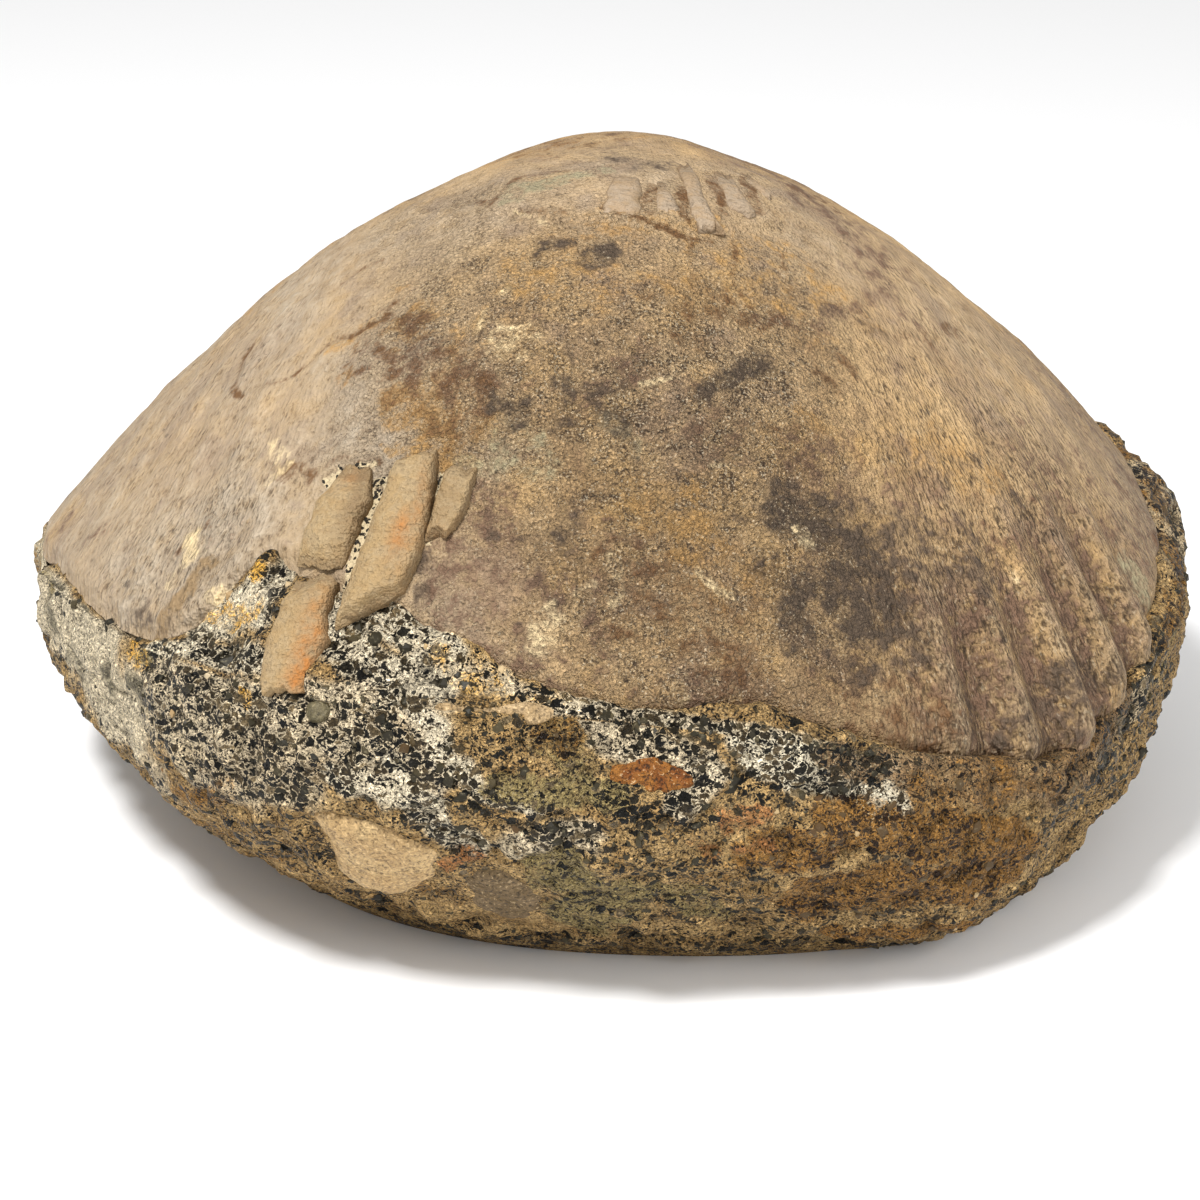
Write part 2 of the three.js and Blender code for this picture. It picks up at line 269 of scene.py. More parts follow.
# ------------------------------------------------------------------ meshes
def build(name, points, faces, material, smooth=True, marks=(), flat_map=None):
    """A mesh piece from points in mm and arrays of faces, with one float attribute per mark.
    flat_map gives each point's place in the flat map that finishes are drawn out on."""
    mesh = bpy.data.meshes.new(name)
    corners = np.concatenate([f.ravel() for f in faces]).astype(np.int32)
    sizes = np.concatenate([np.full(len(f), f.shape[1]) for f in faces])
    starts = np.concatenate([[0], np.cumsum(sizes)[:-1]]).astype(np.int32)
    mesh.vertices.add(len(points))
    mesh.vertices.foreach_set("co", (points * MM).astype(np.float32).ravel())
    mesh.loops.add(len(corners))
    mesh.loops.foreach_set("vertex_index", corners)
    mesh.polygons.add(len(sizes))
    mesh.polygons.foreach_set("loop_start", starts)
    mesh.update(calc_edges=True)
    mesh.polygons.foreach_set("use_smooth", np.full(len(sizes), smooth))
    for mark, values in dict(marks).items():
        layer = mesh.attributes.new(mark, "FLOAT", "POINT")
        layer.data.foreach_set("value", np.asarray(values, np.float32).ravel())
    if flat_map is not None:
        layer = mesh.uv_layers.new(name="OFBake")
        layer.uv.foreach_set("vector", flat_map[corners].astype(np.float32).ravel())
    mesh.materials.append(material)
    piece = bpy.data.objects.new(name, mesh)
    bpy.context.scene.collection.objects.link(piece)
    return piece


def tie(piece, slot, *nodes):
    """The piece rides on the one body and stands for the nodes, which are hidden; slot is not used.
    """
    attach(piece, "root")
    if nodes:
        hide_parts(*nodes)


def loft(rows):
    """Points and faces of a closed skin over rows of points, each row a closed loop. The first
    and last rows are drawn together into one point each."""
    count = rows.shape[1]
    ends = rows[:1].mean(axis=1), rows[-1:].mean(axis=1)
    points = np.concatenate([ends[0], rows[1:-1].reshape(-1, 3), ends[1]])
    middle = np.arange(rows.shape[0] - 2)[:, None] * count + 1
    here = np.arange(count)
    after = (here + 1) % count
    upper, lower = middle[:-1], middle[1:]
    quads = np.stack([upper + here, lower + here, lower + after, upper + after], axis=-1)
    first = np.stack([np.zeros(count, int), 1 + here, 1 + after], axis=-1)
    tip = np.full(count, len(points) - 1)
    last = np.stack([middle[-1] + here, tip, middle[-1] + after], axis=-1)
    return points, [quads.reshape(-1, 4), first, last]


def per_point(grid):
    """Values on the rows of a loft, in the order of its points."""
    return np.concatenate([[grid[0].mean()], grid[1:-1].ravel(), [grid[-1].mean()]])


def disc_map(rows, columns, share):
    """Flat map of a loft: rows are circles whose radii are the given shares of the map."""
    turn = np.arange(columns) / columns * 2 * np.pi
    radius = np.asarray(share)[:, None] * 0.49
    across = 0.5 + radius * np.cos(turn)
    upward = 0.5 + radius * np.sin(turn)
    return np.stack([per_point(across), per_point(upward)], axis=-1)


# ------------------------------------------------------------------ shader maths
def tone(red, green, blue):
    """A colour typed as 0 to 255 on a screen, as linear light."""
    values = np.array([red, green, blue]) / 255
    linear = np.where(values > 0.04045, ((values + 0.055) / 1.055) ** 2.4, values / 12.92)
    return (*(float(v) for v in linear), 1.0)


def either(one, other):
    """Two shares laid over each other."""
    return 1 - (1 - one) * (1 - other)


def operator(operation):
    """The forward and reflected forms of one Python operator as Math nodes."""
    def forward(wire, other):
        return wire.finish.node("ShaderNodeMath", {"operation": operation}, {0: wire, 1: other})

    def reflected(wire, other):
        return wire.finish.node("ShaderNodeMath", {"operation": operation}, {0: other, 1: wire})

    return forward, reflected


class Wire:
    """One output of a shader node; sums on it add Math nodes."""

    __add__, __radd__ = operator("ADD")
    __sub__, __rsub__ = operator("SUBTRACT")
    __mul__, __rmul__ = operator("MULTIPLY")
    __truediv__, __rtruediv__ = operator("DIVIDE")

    def __init__(self, finish, socket):
        self.finish = finish
        self.socket = socket

    def twin(self, name):
        """Another output of the same node."""
        return Wire(self.finish, self.socket.node.outputs[name])


class Finish:
    """One material on a Principled shader, measured in mm on Object coordinates."""

    def __init__(self, name, **fixed):
        self.material = bpy.data.materials.new(name)
        self.material.use_nodes = True
        self.tree = self.material.node_tree
        self.tree.nodes.clear()
        self.shader = self.tree.nodes.new("ShaderNodeBsdfPrincipled")
        surface = self.tree.nodes.new("ShaderNodeOutputMaterial")
        self.tree.links.new(self.shader.outputs[0], surface.inputs["Surface"])
        for socket, value in fixed.items():
            self.shader.inputs[socket.replace("_", " ")].default_value = value
        metres = self.node("ShaderNodeTexCoord", output="Object")
        self.place = self.scaled(metres, 1 / MM)

    def node(self, kind, settings=(), inputs=(), output=0):
        """Adds a node: its settings first, then the value or link of each socket."""
        made = self.tree.nodes.new(kind)
        for name, value in dict(settings).items():
            if name == "stops":
                self.set_stops(made.color_ramp, value)
            else:
                setattr(made, name, value)
        for key, value in dict(inputs).items():
            if isinstance(value, Wire):
                self.tree.links.new(value.socket, made.inputs[key])
            else:
                made.inputs[key].default_value = value
        return Wire(self, made.outputs[output])

    @staticmethod
    def set_stops(ramp, stops):
        """Colour stops of a ramp, as pairs of place and colour."""
        while len(ramp.elements) < len(stops):
            ramp.elements.new(1.0)
        for element, (place, colour) in zip(ramp.elements, stops):
            element.position = place
            element.color = colour

    def feed(self, socket, wire):
        self.tree.links.new(wire.socket, self.shader.inputs[socket])

    def mark(self, name):
        """A float attribute of the mesh."""
        return self.node("ShaderNodeAttribute", {"attribute_name": name}, output="Fac")

    def noise(self, size, detail=3.0, rough=0.6, at=None, **more):
        """Noise from 0 to 1 with features of that size in mm."""
        more.update({"Vector": at or self.place, "Scale": 1 / size})
        more.update({"Detail": detail, "Roughness": rough})
        return self.node("ShaderNodeTexNoise", inputs=more)

    def cells(self, size, feature="F1", at=None):
        """Scattered cells of that size in mm: distance, with a random colour as its twin."""
        inputs = {"Vector": at or self.place, "Scale": 1 / size}
        return self.node("ShaderNodeTexVoronoi", {"feature": feature}, inputs)

    def part(self, vector, axis):
        """One of the three numbers of a vector or colour."""
        return self.node("ShaderNodeSeparateXYZ", inputs={0: vector}, output=axis)

    def shifted(self, by, size, amount):
        """The place in mm, pushed about by noise of that size."""
        push = self.noise(size, 2.0).twin("Color")
        settings = {"operation": "SUBTRACT"}
        centred = self.node("ShaderNodeVectorMath", settings, {0: push, 1: (0.5,) * 3})
        settings = {"operation": "MULTIPLY_ADD"}
        return self.node("ShaderNodeVectorMath", settings, {0: centred, 1: (amount,) * 3, 2: by})

    def fade(self, value, start, end):
        """0 where value is at start, 1 where it is at end, and a soft S between."""
        settings = {"interpolation_type": "SMOOTHSTEP"}
        return self.node("ShaderNodeMapRange", settings, {0: value, 1: start, 2: end})

    def mix(self, share, one, other):
        """one where share is 0, other where it is 1."""
        return self.node("ShaderNodeMix", {"data_type": "RGBA"}, {0: share, 6: one, 7: other}, 2)

    def scaled(self, vector, by):
        """A place or colour times a number."""
        settings = {"operation": "SCALE"}
        return self.node("ShaderNodeVectorMath", settings, {0: vector, "Scale": by})

    def stain(self, name, stir, start, end):
        """Share of a mark of the mesh, its outline broken up by stir where there is any."""
        mark = self.mark(name)
        return self.fade(mark + stir * self.fade(mark, 0, 0.3), start, end)

    def relief(self, height):
        """Bump from a height in mm."""
        self.feed("Normal", self.node("ShaderNodeBump", inputs={"Distance": MM, "Height": height}))


# ------------------------------------------------------------------ the finish of the cast
def cast_finish():
    """Fine limestone: clouds of beige, tan, gold and mauve under the stains, over all of it the
    sugary grain of the stone with sharp pits and bright specks, and dark grit where the rock
    still clings to it."""
    f = Finish("cast_stone_finish", Specular_IOR_Level=0.3)
    flow = f.node("ShaderNodeCombineXYZ", inputs={0: f.mark("fan"), 1: f.mark("climb") * 0.35})
    cloud = f.noise(6.0, 5.0, 0.65).twin("Color")
    blotch = f.noise(1.8, 3.0, 0.7)
    even = f.noise(0.34, 1.5, 0.65, Distortion=0.8)
    fine = even + (f.noise(0.34, 1.5, 0.65, at=flow) - even) * f.mark("run")
    small = f.noise(0.19, 1.0, 0.5, Distortion=0.6)
    small = small + (f.noise(0.19, 1.0, 0.5, at=flow) - small) * f.mark("run")
    gritty = f.mark("gritty")
    rough = 0.3 + gritty * 0.9
    stir = (blotch - 0.5) * 3.6 + (fine - 0.5) * 0.7

    colour = f.mix(f.fade(f.part(cloud, 0), 0.38, 0.62), tone(182, 151, 108), tone(156, 127, 90))
    colour = f.mix(f.fade(f.part(cloud, 1), 0.48, 0.64) * 0.6, colour, tone(186, 150, 98))
    colour = f.mix(f.fade(f.part(cloud, 2), 0.5, 0.66) * 0.6, colour, tone(134, 109, 88))
    colour = f.mix(f.mark("pale") * (1 + stir * 0.6), colour, tone(169, 153, 131))
    shades = {
        "ochre": tone(168, 131, 80), "plum": tone(108, 83, 64), "rust": tone(104, 74, 44),
        "sage": tone(152, 141, 110), "grey": tone(84, 69, 54), "band": tone(140, 116, 84),
        "cream": tone(214, 190, 146),
    }
    for name, shade in shades.items():
        colour = f.mix(f.stain(name, stir, 0.05, 1.15), colour, shade)

    light = 1 + (fine - 0.5) * 2.0 * rough + (blotch - 0.5) * (0.7 + gritty)
    # Painted light under the crest and painted shade low down and far out on the right.
    light = light + f.mark("glow") * 0.22 - f.mark("pale") * 0.06
    colour = f.scaled(colour, light)
    pit = f.fade(fine + (blotch - 0.5) * 0.8 - gritty * 0.04, 0.28, 0.26)
    prick = f.fade(small + (blotch - 0.5) * 0.6 - gritty * 0.05, 0.35, 0.32)
    pit = either(pit, prick)
    colour = f.mix(pit * (0.35 + gritty * 0.5), colour, tone(66, 48, 33))
    speck = f.fade(small - (blotch - 0.5) * 0.4 + gritty * 0.02, 0.66, 0.70)
    speck = speck * (0.15 + gritty * 0.45) * (1 - f.mark("run") * 0.6)
    colour = f.mix(speck, colour, tone(226, 209, 178))

    cell = f.cells(0.5, at=f.shifted(f.place, 1.0, 1.0))
    kind = f.part(cell.twin("Color"), 0)
    cling = f.stain("rocky", stir, 0.2, 0.6)
    colour = f.mix(cling, colour, tone(206, 186, 148))
    grit = f.fade(cell + (fine - 0.5) * 0.8, 0.5, 0.42) * f.fade(cling * 0.8 - kind, -0.03, 0.03)
    colour = f.mix(grit, colour, tone(38, 32, 22))
    colour = f.mix(f.fade(f.mark("crack"), 0.35, 0.8) * 0.8, colour, tone(58, 44, 30))

    f.feed("Base Color", colour)
    f.feed("Roughness", 0.85 - fine * 0.3)
    f.relief((fine * 1.6 + blotch * 2.0) * rough)
    return f.material


# ------------------------------------------------------------------ the cast
# Cast and rock run under each other at the seam, the cast sinking and the rock rising.
OVERLAP = 0.02
EDGE_SINK = 1.0
CAST_ROWS = 176
CAST_COLUMNS = 500
LIP_STEPS = [(-0.002, -0.5), (-0.006, -1.0), (-0.014, -1.6)]

# Stains and fine lines: plan points from the crest, then half width, softness and strength.
SCRATCHES = [
    (-27.8, -19.4, -25.1, -18.9, -22.4, -19.6, -19.7, -19.2, 0.15, 0.4, 0.85),
    (-32.1, -17.4, -28.8, -19.4, -27.8, -19.3, 0.15, 0.5, 0.45),
    (-33.2, -10, -34, -11.4, -34.1, -14.1, -33.2, -17.1, 0.15, 0.4, 0.8),
    (-24.7, -10, -23.4, -9.9, -20.9, -10.2, 0.1, 0.3, 0.55),
]
LEDGE = [
    (-37, -36.3, -35.2, -35.5, -33.2, -34.4, -31.8, -33.5, 0.6, 0.9, 0.6),
]
CRACKS = [
    (-2.7, -45, -3.5, -46.4, -3.2, -48.2, -4.5, -48.8, 0, 0.3, 0.7),
    (2, -51.8, 2.1, -52.8, 0, 0.3, 0.7),
    (1.7, -50.1, 2, -51.3, 0, 0.3, 0.4),
]
CAST_STAINS = {
    "grey": [
        (-6, -17.5, -2, -18, 0.9, 1.6, 0.95), (-10, -33, -9, -34, -8.5, -35.5, 0.25, 1.4, 0.8),
        (-4.5, -30, -4, -32.5, -4.5, -34.5, 0.4, 2, 0.6),
        (-1, -33, 0.5, -34, 2, -34, 0.4, 1.5, 0.8), (0, -34.5, 1, -36.5, 0.5, 2, 0.5),
        (0.5, -29, 0.5, -32, 0.2, 1.4, 0.5),
        (7.5, -32, 9, -30.5, 10.5, -29.5, 12, -27, 0.25, 1.4, 0.8),
        (19.5, -18, 22, -17, 0.7, 2.5, 0.3), (21, -38.5, 26, -35.5, 30, -33.5, 1.4, 3.5, 0.5),
        (17.5, -39.5, 18, -39.5, 0.3, 1.4, 0.8), (19, -40, 20.5, -41, 21, -41.5, 0.5, 2.4, 0.65),
        (22, -37.5, 23, -38, 0.25, 1.5, 0.65), (15.5, -41.5, 17.5, -43.5, 22, -41.5, 2.4, 3.8, 0.9),
        (20.5, -43.5, 21.5, -42.5, 0.25, 1.5, 0.5), (29, -34.5, 31, -32, 32.5, -32, 0.5, 2.5, 0.5),
        (35, -23.5, 36, -23.5, 0.25, 1.4, 0.55), (10, -40, 15.5, -38.5, 0.7, 2.5, 0.35),
        (-9.5, -43, -7, -43, -5, -44, 0.6, 2.5, 0.45), (-9, -43.5, -8.5, -43.5, 0.25, 1.2, 0.4),
        (-6, -47, -7, -47.5, 0.25, 1.5, 0.5), (-16, -43.5, -17, -45.5, -17.5, -47, 0.2, 1.2, 0.75),
        (40.5, -34, 43.5, -33, 0.4, 1.7, 0.65), (29.5, -44, 31, -44, 33, -44, 0.3, 1.5, 0.7),
        (35.5, -41.5, 38, -40, 39, -37.5, 0.5, 2.4, 0.5), (30, -46.5, 36, -43, 0.5, 2, 0.45),
        (-44.5, -29, -40.5, -33.5, 0.6, 1.4, 0.55), (0.5, -1, 2, -4.5, 1, 2.9, 0.4),
    ],
    "plum": [
        (-18.5, -24.5, -16, -27.5, -12, -31, 1.5, 2.9, 0.75),
        (-18.5, -24, -17.5, -27.5, 0.3, 1.2, 0.6), (-15, -30, -14.5, -32, 0.3, 1, 0.8),
        (-5.5, -28.5, -1.5, -31, 2, -30, 0.9, 2.2, 0.6), (-6, -32.5, -1.5, -34, 1.1, 2.2, 0.45),
        (7, -33, 10, -32.5, 8.5, -35, 1.1, 2.6, 0.4), (2, -44.5, 3.5, -47, 1.1, 2.5, 0.5),
        (-14.5, -46.5, -12, -43.5, -8, -48.5, -4, -50, 2.4, 3.6, 0.65),
        (31.5, -42.5, 33.5, -44.5, 1.5, 2.5, 0.5),
        (-15, -45, -12.5, -47, -14, -48.5, 1.5, 3.1, 0.55),
        (13, -22.5, 16, -21.5, 19, -19, 21, -16, 24.5, -11, 0.25, 1.3, 0.75),
        (15.5, -35, 21, -32.5, 27.5, -29.5, 1.1, 2.6, 0.45),
        (14, 7.5, 17, 1.5, 21.5, -1.5, 0.3, 1, 1), (16, 3, 22, -4, 27, -9.5, 1.6, 4, 0.55),
        (19.5, -9, 23, -9, 0.5, 1.2, 0.6), (32, -33.5, 37, -31.5, 41, -31.5, 1.5, 4.4, 0.5),
        (36, -23.5, 38, -26.5, 38.5, -27.5, 0.25, 1, 0.6),
        (-47.7, -16.7, -44.1, -18.7, 0.2, 0.6, 0.8), (-52.5, -7.5, -50, -9.5, 0.3, 1, 0.5),
        (29, -44.5, 38.5, -40.5, 1.8, 2.6, 0.55), (7, -52.5, 11, -51.5, 0.6, 1.8, 0.6),
        (-3, -51.5, -1.5, -52.5, 0.8, 1.6, 0.4), (2, -52.5, 5.5, -52.5, 0.6, 1.3, 0.4),
    ],
    "ochre": [
        (-8.5, -22, 0.5, -18, 11, -17, 16.5, -17, 3.4, 6.1, 0.4),
        (3.5, -19.5, 4.5, -22.5, 0.7, 1.7, 0.45), (8, -19, 8.5, -22.5, 0.7, 1.4, 0.45),
        (12.5, -18, 13, -20, 0.7, 1.4, 0.45),
        (3, -40, 6.5, -41, 7, -43, 11.5, -43.5, 1.4, 1.8, 0.75),
        (7, -40, 8.5, -42.5, 0.7, 1.2, 0.5), (12.5, -33, 15.5, -32, 1, 2.3, 0.4),
        (22, -29.5, 27.5, -26.5, 33, -23, 1, 2.4, 0.5), (31.2, -23.9, 32.7, -23.1, 0.25, 1, 0.6),
        (-19.5, -21.5, -17, -28.5, -13.5, -33, 2.2, 3.5, 0.8),
        (-17.5, -34, -12, -35.5, 1.1, 2, 0.6),
    ],
    "rust": [
        (6.5, -25.5, 7.5, -23, 13, -22.5, 0.8, 1.9, 0.45),
        (-19.5, -23, -17, -28.5, -12.5, -32.5, 1.6, 3.5, 0.4),
        (6.6, -15.6, 6.7, -21.9, 0.1, 0.4, 0.5), (10.5, -14.8, 10.9, -20.3, 0.1, 0.4, 0.5),
        (14.5, -13.7, 15.4, -18.5, 0.1, 0.4, 0.5),
        *SCRATCHES,
        (-29.6, -29.6, -26.7, -32.7, -23.2, -33.2, -20.7, -34.7, 0.25, 0.8, 0.6),
        (-38.4, -30.3, -36.8, -29.5, -34.8, -29.5, 0.15, 0.6, 0.55),
        (2, -47, 8.5, -48, 10.5, -51, 1.9, 3.1, 0.35), (19.5, -48.5, 27, -47.5, 1.2, 2.4, 0.45),
        (-13.1, -6.3, -11.2, -9, -8.5, -5.5, -4.9, -5.3, 0.15, 0.6, 0.6),
        # This row and the next are dark lines along the crest layer's step and the ledge under the
        # crest ribs: painted shadow under the ledges.
        (-1.3, -12.9, 2.2, -14.2, 6.6, -15.3, 8.6, -15, 0.15, 0.4, 0.8),
        (-8.4, -11.8, -4.8, -13.2, 0.15, 0.4, 0.5), (19.5, -23, 20.5, -23.1, 0.3, 0.7, 0.6),
        (17.9, -25.9, 18.9, -26, 0.25, 0.6, 0.7), (12.7, -33, 13.8, -32.9, 0.25, 0.6, 0.6),
        (2.2, -23.7, 3.2, -23.7, 0.25, 0.7, 0.6), (28.9, -14.9, 29.3, -15.1, 0.15, 0.3, 0.9),
        (25.4, -16, 31.6, -8.2, 33.6, -7.9, 0.25, 0.9, 0.4),
        (17.7, -48.7, 18.6, -49, 0.4, 0.9, 0.5),
        (-19.3, -20.5, -20.4, -18.3, -18.9, -18.2, 0.25, 0.7, 0.5),
        (-17.6, -21.5, -17.1, -22.3, 0.25, 0.5, 0.6), (3.2, -9.4, 3.3, -12.6, 0.5, 0.5, 0.7),
        (5.8, -8.8, 6.1, -13, 0.4, 0.5, 0.8), (8.6, -4.5, 9.4, -10.8, 0.4, 0.5, 0.7),
        (11.6, -3, 12.7, -8.2, 0.3, 0.6, 0.7),
    ],
    "sage": [
        (-8.5, -8, -5, -7, -1.5, -7, 0.9, 1.3, 0.6), (-0.5, -35, 1.5, -36, 0.7, 1, 0.4),
        (-11, -37, -7.5, -37.5, 1.2, 1.9, 0.4), (46.5, -19, 48.5, -18.5, 0.8, 1.2, 0.45),
    ],
    "cream": [
        (-11, -24.5, -8, -27.5, -10, -28.5, 0.8, 1.6, 0.35),
        (2.5, -31.5, 3.8, -31, 6.6, -29.1, 0.1, 0.4, 0.6), (8.4, -37.1, 9.7, -37, 0.15, 0.4, 0.6),
        (0.2, -45.4, -0.4, -47, 0.25, 0.6, 0.5),
        (6.9, -44.9, 8.2, -45.4, 10, -45.8, 0.15, 0.4, 0.6), (-4, -47.5, -6, -50, 0.7, 1.5, 0.35),
        (15.2, -40.5, 15.9, -40.3, 0.2, 0.6, 0.5), (5.2, -51.5, 5.5, -52.1, 0.3, 0.8, 0.4),
        (35.1, -31.6, 35.3, -31.5, 0.15, 0.4, 0.5), (36.8, -30.1, 37.1, -30, 0.15, 0.4, 0.45),
        (-29, -28, -29.5, -30, 0.8, 1.5, 0.4), (-36.5, -29.3, -37.1, -32.6, 0.6, 0.9, 1),
        (-34.7, -37.3, -30.2, -39.7, 0.3, 0.5, 0.6),
        (-8.9, -11.7, -7.1, -13.3, -4, -15.1, 0.15, 0.4, 0.4),
    ],
    "crack": CRACKS,
    "rocky": [
        (-19.9, -37.6, -21.2, -41.1, -22.2, -43.8, 0.8, 0.5, 0.8),
        (-23.8, -34.6, -21.4, -35.2, 0.5, 0.6, 0.6), (-14.6, -37.9, -15.1, -39.2, 0.25, 0.4, 0.9),
        (-16.2, -42.1, -15.6, -42.6, 0.3, 0.4, 0.9),
    ],
    "band": [
        (-35.6, -34.6, -37.4, -36, -39.6, -36.8, 0.6, 0.9, 1),
        *LEDGE,
        (-34.4, -36.9, -32, -37.1, -28.2, -38.5, 0.3, 0.6, 0.4),
    ],
}


def cast_relief(points, reach, fan):
    """Height over the plain cast: slow waves, ribs fanning out from the beak that are strong
    low on the right and faint elsewhere, the step of the thin crest layer, and scratches."""
    plan = plan_of(points)
    height = 0.32 * fractal(points, 15, 2, 11) + 0.10 * fractal(points, 4.5, 2, 12)
    height = height + 0.06 * fractal(points, 1.5, 2, 14)
    height = height + 0.7 * rib_wave(fan, reach)
    step_x, step_y = np.array(VENEER_STEP).T
    past_step = plan[..., 1] - np.interp(plan[..., 0], step_x, step_y)
    past_step = past_step + 0.35 * fractal(points, 1.6, 2, 17)
    sides = fade(plan[..., 0], -12.5, -9) * fade(plan[..., 0], 19, 12)
    height = height + 0.42 * fade(past_step, -0.1, 0.35) * fade(past_step, 15, 6) * sides
    still = np.zeros(2)
    cut = 0.16 * strokes(plan, still, CRACKS) + 0.16 * strokes(plan, still, SCRATCHES)
    return height - cut - 0.35 * strokes(plan, still, LEDGE)


def rib_wave(fan, reach):
    """Ridges (up to 1) and furrows (below 0) of the ribs, by angle about the beak."""
    ridge = np.cos(np.radians((fan - RIB_START) / RIB_STEP * 360))
    strong = fade(fan, 17, 22) * fade(fan, 44, 39) * fade(reach, 0.5, 0.8)
    faint = 0.14 * fade(reach, 0.15, 0.5) * fade(np.abs(fan), 60, 45)
    return (strong + faint) * (ridge - 0.4 + 0.5 * (ridge > 0.3) * (ridge - 0.3))


def cast_marks(points, reach, fan, from_edge):
    """The stains, with their outlines shaken by noise, and broad zones worked out in plan."""
    plan = plan_of(points)
    shake = np.stack([fractal(points, 3.0, 4, seed) for seed in (21, 26)], axis=-1)
    marks = {name: strokes(plan, shake, rows) for name, rows in CAST_STAINS.items()}
    x, y = plan[..., 0], plan[..., 1]
    back = fade(y, -6, 10)
    cloud = fractal(points, 13, 3, 41)
    # Broad stains are patchy, and wild ones lie mostly round the back.
    for name, seed in (("grey", 33), ("plum", 35), ("ochre", 37)):
        marks[name] = marks[name] * fade(fractal(points, 4.0, 4, seed), -0.8, 0.1)
    for name, seed in (("grey", 43), ("ochre", 45), ("plum", 47), ("rust", 49)):
        wild = 0.5 * fade(fractal(points, 9, 4, seed), 0.05, 0.8)
        marks[name] = np.maximum(marks[name], wild * (0.3 + 0.7 * back))
    # The left flank and the crest are pale; it is mauve low down and far out on the right.
    flank = np.maximum(fade(x + 0.35 * y, -17, -34), 0.85 * fade(y, 0, 22) * fade(x, 12, -6))
    marks["pale"] = np.clip(0.75 * flank * (0.85 + 0.3 * cloud) + 0.12 * cloud, 0, 1)
    top = 0.4 * fade(y, -24, -8) * (1 - back)
    marks["pale"] = np.maximum(marks["pale"], top * (1 + 0.5 * cloud))
    right = 0.35 * fade(x, 30, 42) * fade(reach, 0.95, 0.7)
    low = fade(x, 10, 24) * fade(y, -28, -38) * fade(x, 52, 40)
    mauve = np.maximum(right * (1 + cloud), low * (0.7 + 0.4 * cloud))
    marks["plum"] = np.maximum(marks["plum"], mauve)
    # Painted light under the crest, and painted shade low down and far out on the right.
    painted_dim = np.maximum(fade(y, -31, -39) * fade(x, -14, 0), fade(x, 32, 44))
    marks["glow"] = 0.4 * np.exp(-(((x + 6) / 13) ** 2) - ((y + 18) / 9) ** 2) - 0.6 * painted_dim
    # Ribs are paler along their ridges and mauve in their furrows: partly the stone's own tone, and
    # partly painted light on the ridges and painted shade in the furrows.
    ridge = rib_wave(fan, reach)
    marks["pale"] = np.clip(marks["pale"] + 0.3 * np.maximum(ridge, 0), 0, 1)
    marks["plum"] = np.maximum(marks["plum"], 0.9 * np.clip(-ridge, 0, 1))
    # Soil has soaked in along the edge.
    soil = 0.2 * np.exp(-np.maximum(from_edge - 2, 0) / 1.6) * fade(x, -24, -8)
    marks["rust"] = np.maximum(marks["rust"], soil * (0.7 + 0.5 * cloud))
    # The stone is coarse low on the right, smooth on the flank and towards the crest, and its
    # grain runs with the ribs except in the middle of the front.
    low_right = fade(x, -20, 8) * fade(y, -16, -34) * fade(reach, 0.3, 0.45)
    smooth = 0.4 * flank + 0.45 * fade(y, -26, -10)
    marks["gritty"] = np.clip(0.5 + 0.25 * low_right - smooth + 0.25 * cloud, 0, 1)
    marks["run"] = np.clip(fade(np.abs(x + 2), 16, 30) + back, 0, 1)
    marks["fan"] = np.radians(fan) * FAN_RADIUS
    marks["climb"] = np.linalg.norm(points - lump(*BEAK_TIP), axis=-1)
    return marks


def seat_rows(foot, middle):
    """Rows from a closed loop of points in to one point, first steep and then level."""
    rows = []
    for part in SEAT_STEPS:
        seat = foot + (middle - foot) * part
        seat[:, 2] = foot[:, 2] + (middle[2] - foot[:, 2]) * (1 - (1 - part) ** 2)
        rows.append(seat)
    return rows


def carried(marks, before, after):
    """Marks worked out on some rows of a loft, carried on to the rows before and after them."""
    pad = ((before, after), (0, 0))
    return {name: per_point(np.pad(grid, pad, "edge")) for name, grid in marks.items()}


def make_cast():
    """The cast: rows of points from the crest out to its edge, a lip turned under, and the
    hidden seat, drawn together under the crest."""
    turn = np.arange(CAST_COLUMNS) / CAST_COLUMNS * 2 * np.pi
    bearing = np.degrees(turn - 0.5 * np.cos(turn))
    edge = cast_edge(bearing) + OVERLAP
    share = (np.arange(CAST_ROWS + 1) / CAST_ROWS)[:, None] ** 0.9
    reach = edge * share
    point, _, _, normal = frame_at(bearing, reach)
    plan = plan_of(point)
    fan = np.degrees(np.arctan2(plan[..., 0] - BEAK_PLAN[0], BEAK_PLAN[1] - plan[..., 1]))
    from_edge = np.linalg.norm(point - point[-1], axis=-1)
    height = cast_relief(point, reach, fan) - EDGE_SINK * fade(from_edge, 2.6, 0) ** 2
    rows = [point + normal * height[..., None]]
    for inward, lift in LIP_STEPS:
        lip, _, _, out = frame_at(bearing, edge + inward)
        rows.append((lip + out * (height[-1] + lift)[:, None])[None])
    rows = np.concatenate([*rows, seat_rows(rows[-1][0], np.array([*CREST[:2], SEAT_HEIGHT]))])
    extra = len(rows) - len(reach)
    marks = carried(cast_marks(point, reach, fan, from_edge), 0, extra)
    points, faces = loft(rows)
    circles = np.concatenate([0.94 * share[:, 0], np.linspace(0.95, 1, extra)])
    flat_map = disc_map(rows, CAST_COLUMNS, circles)
    piece = build("clam_cast_stone", points, faces, cast_finish(), marks=marks, flat_map=flat_map)
    tie(piece, "cast_stone", "clam_cast")


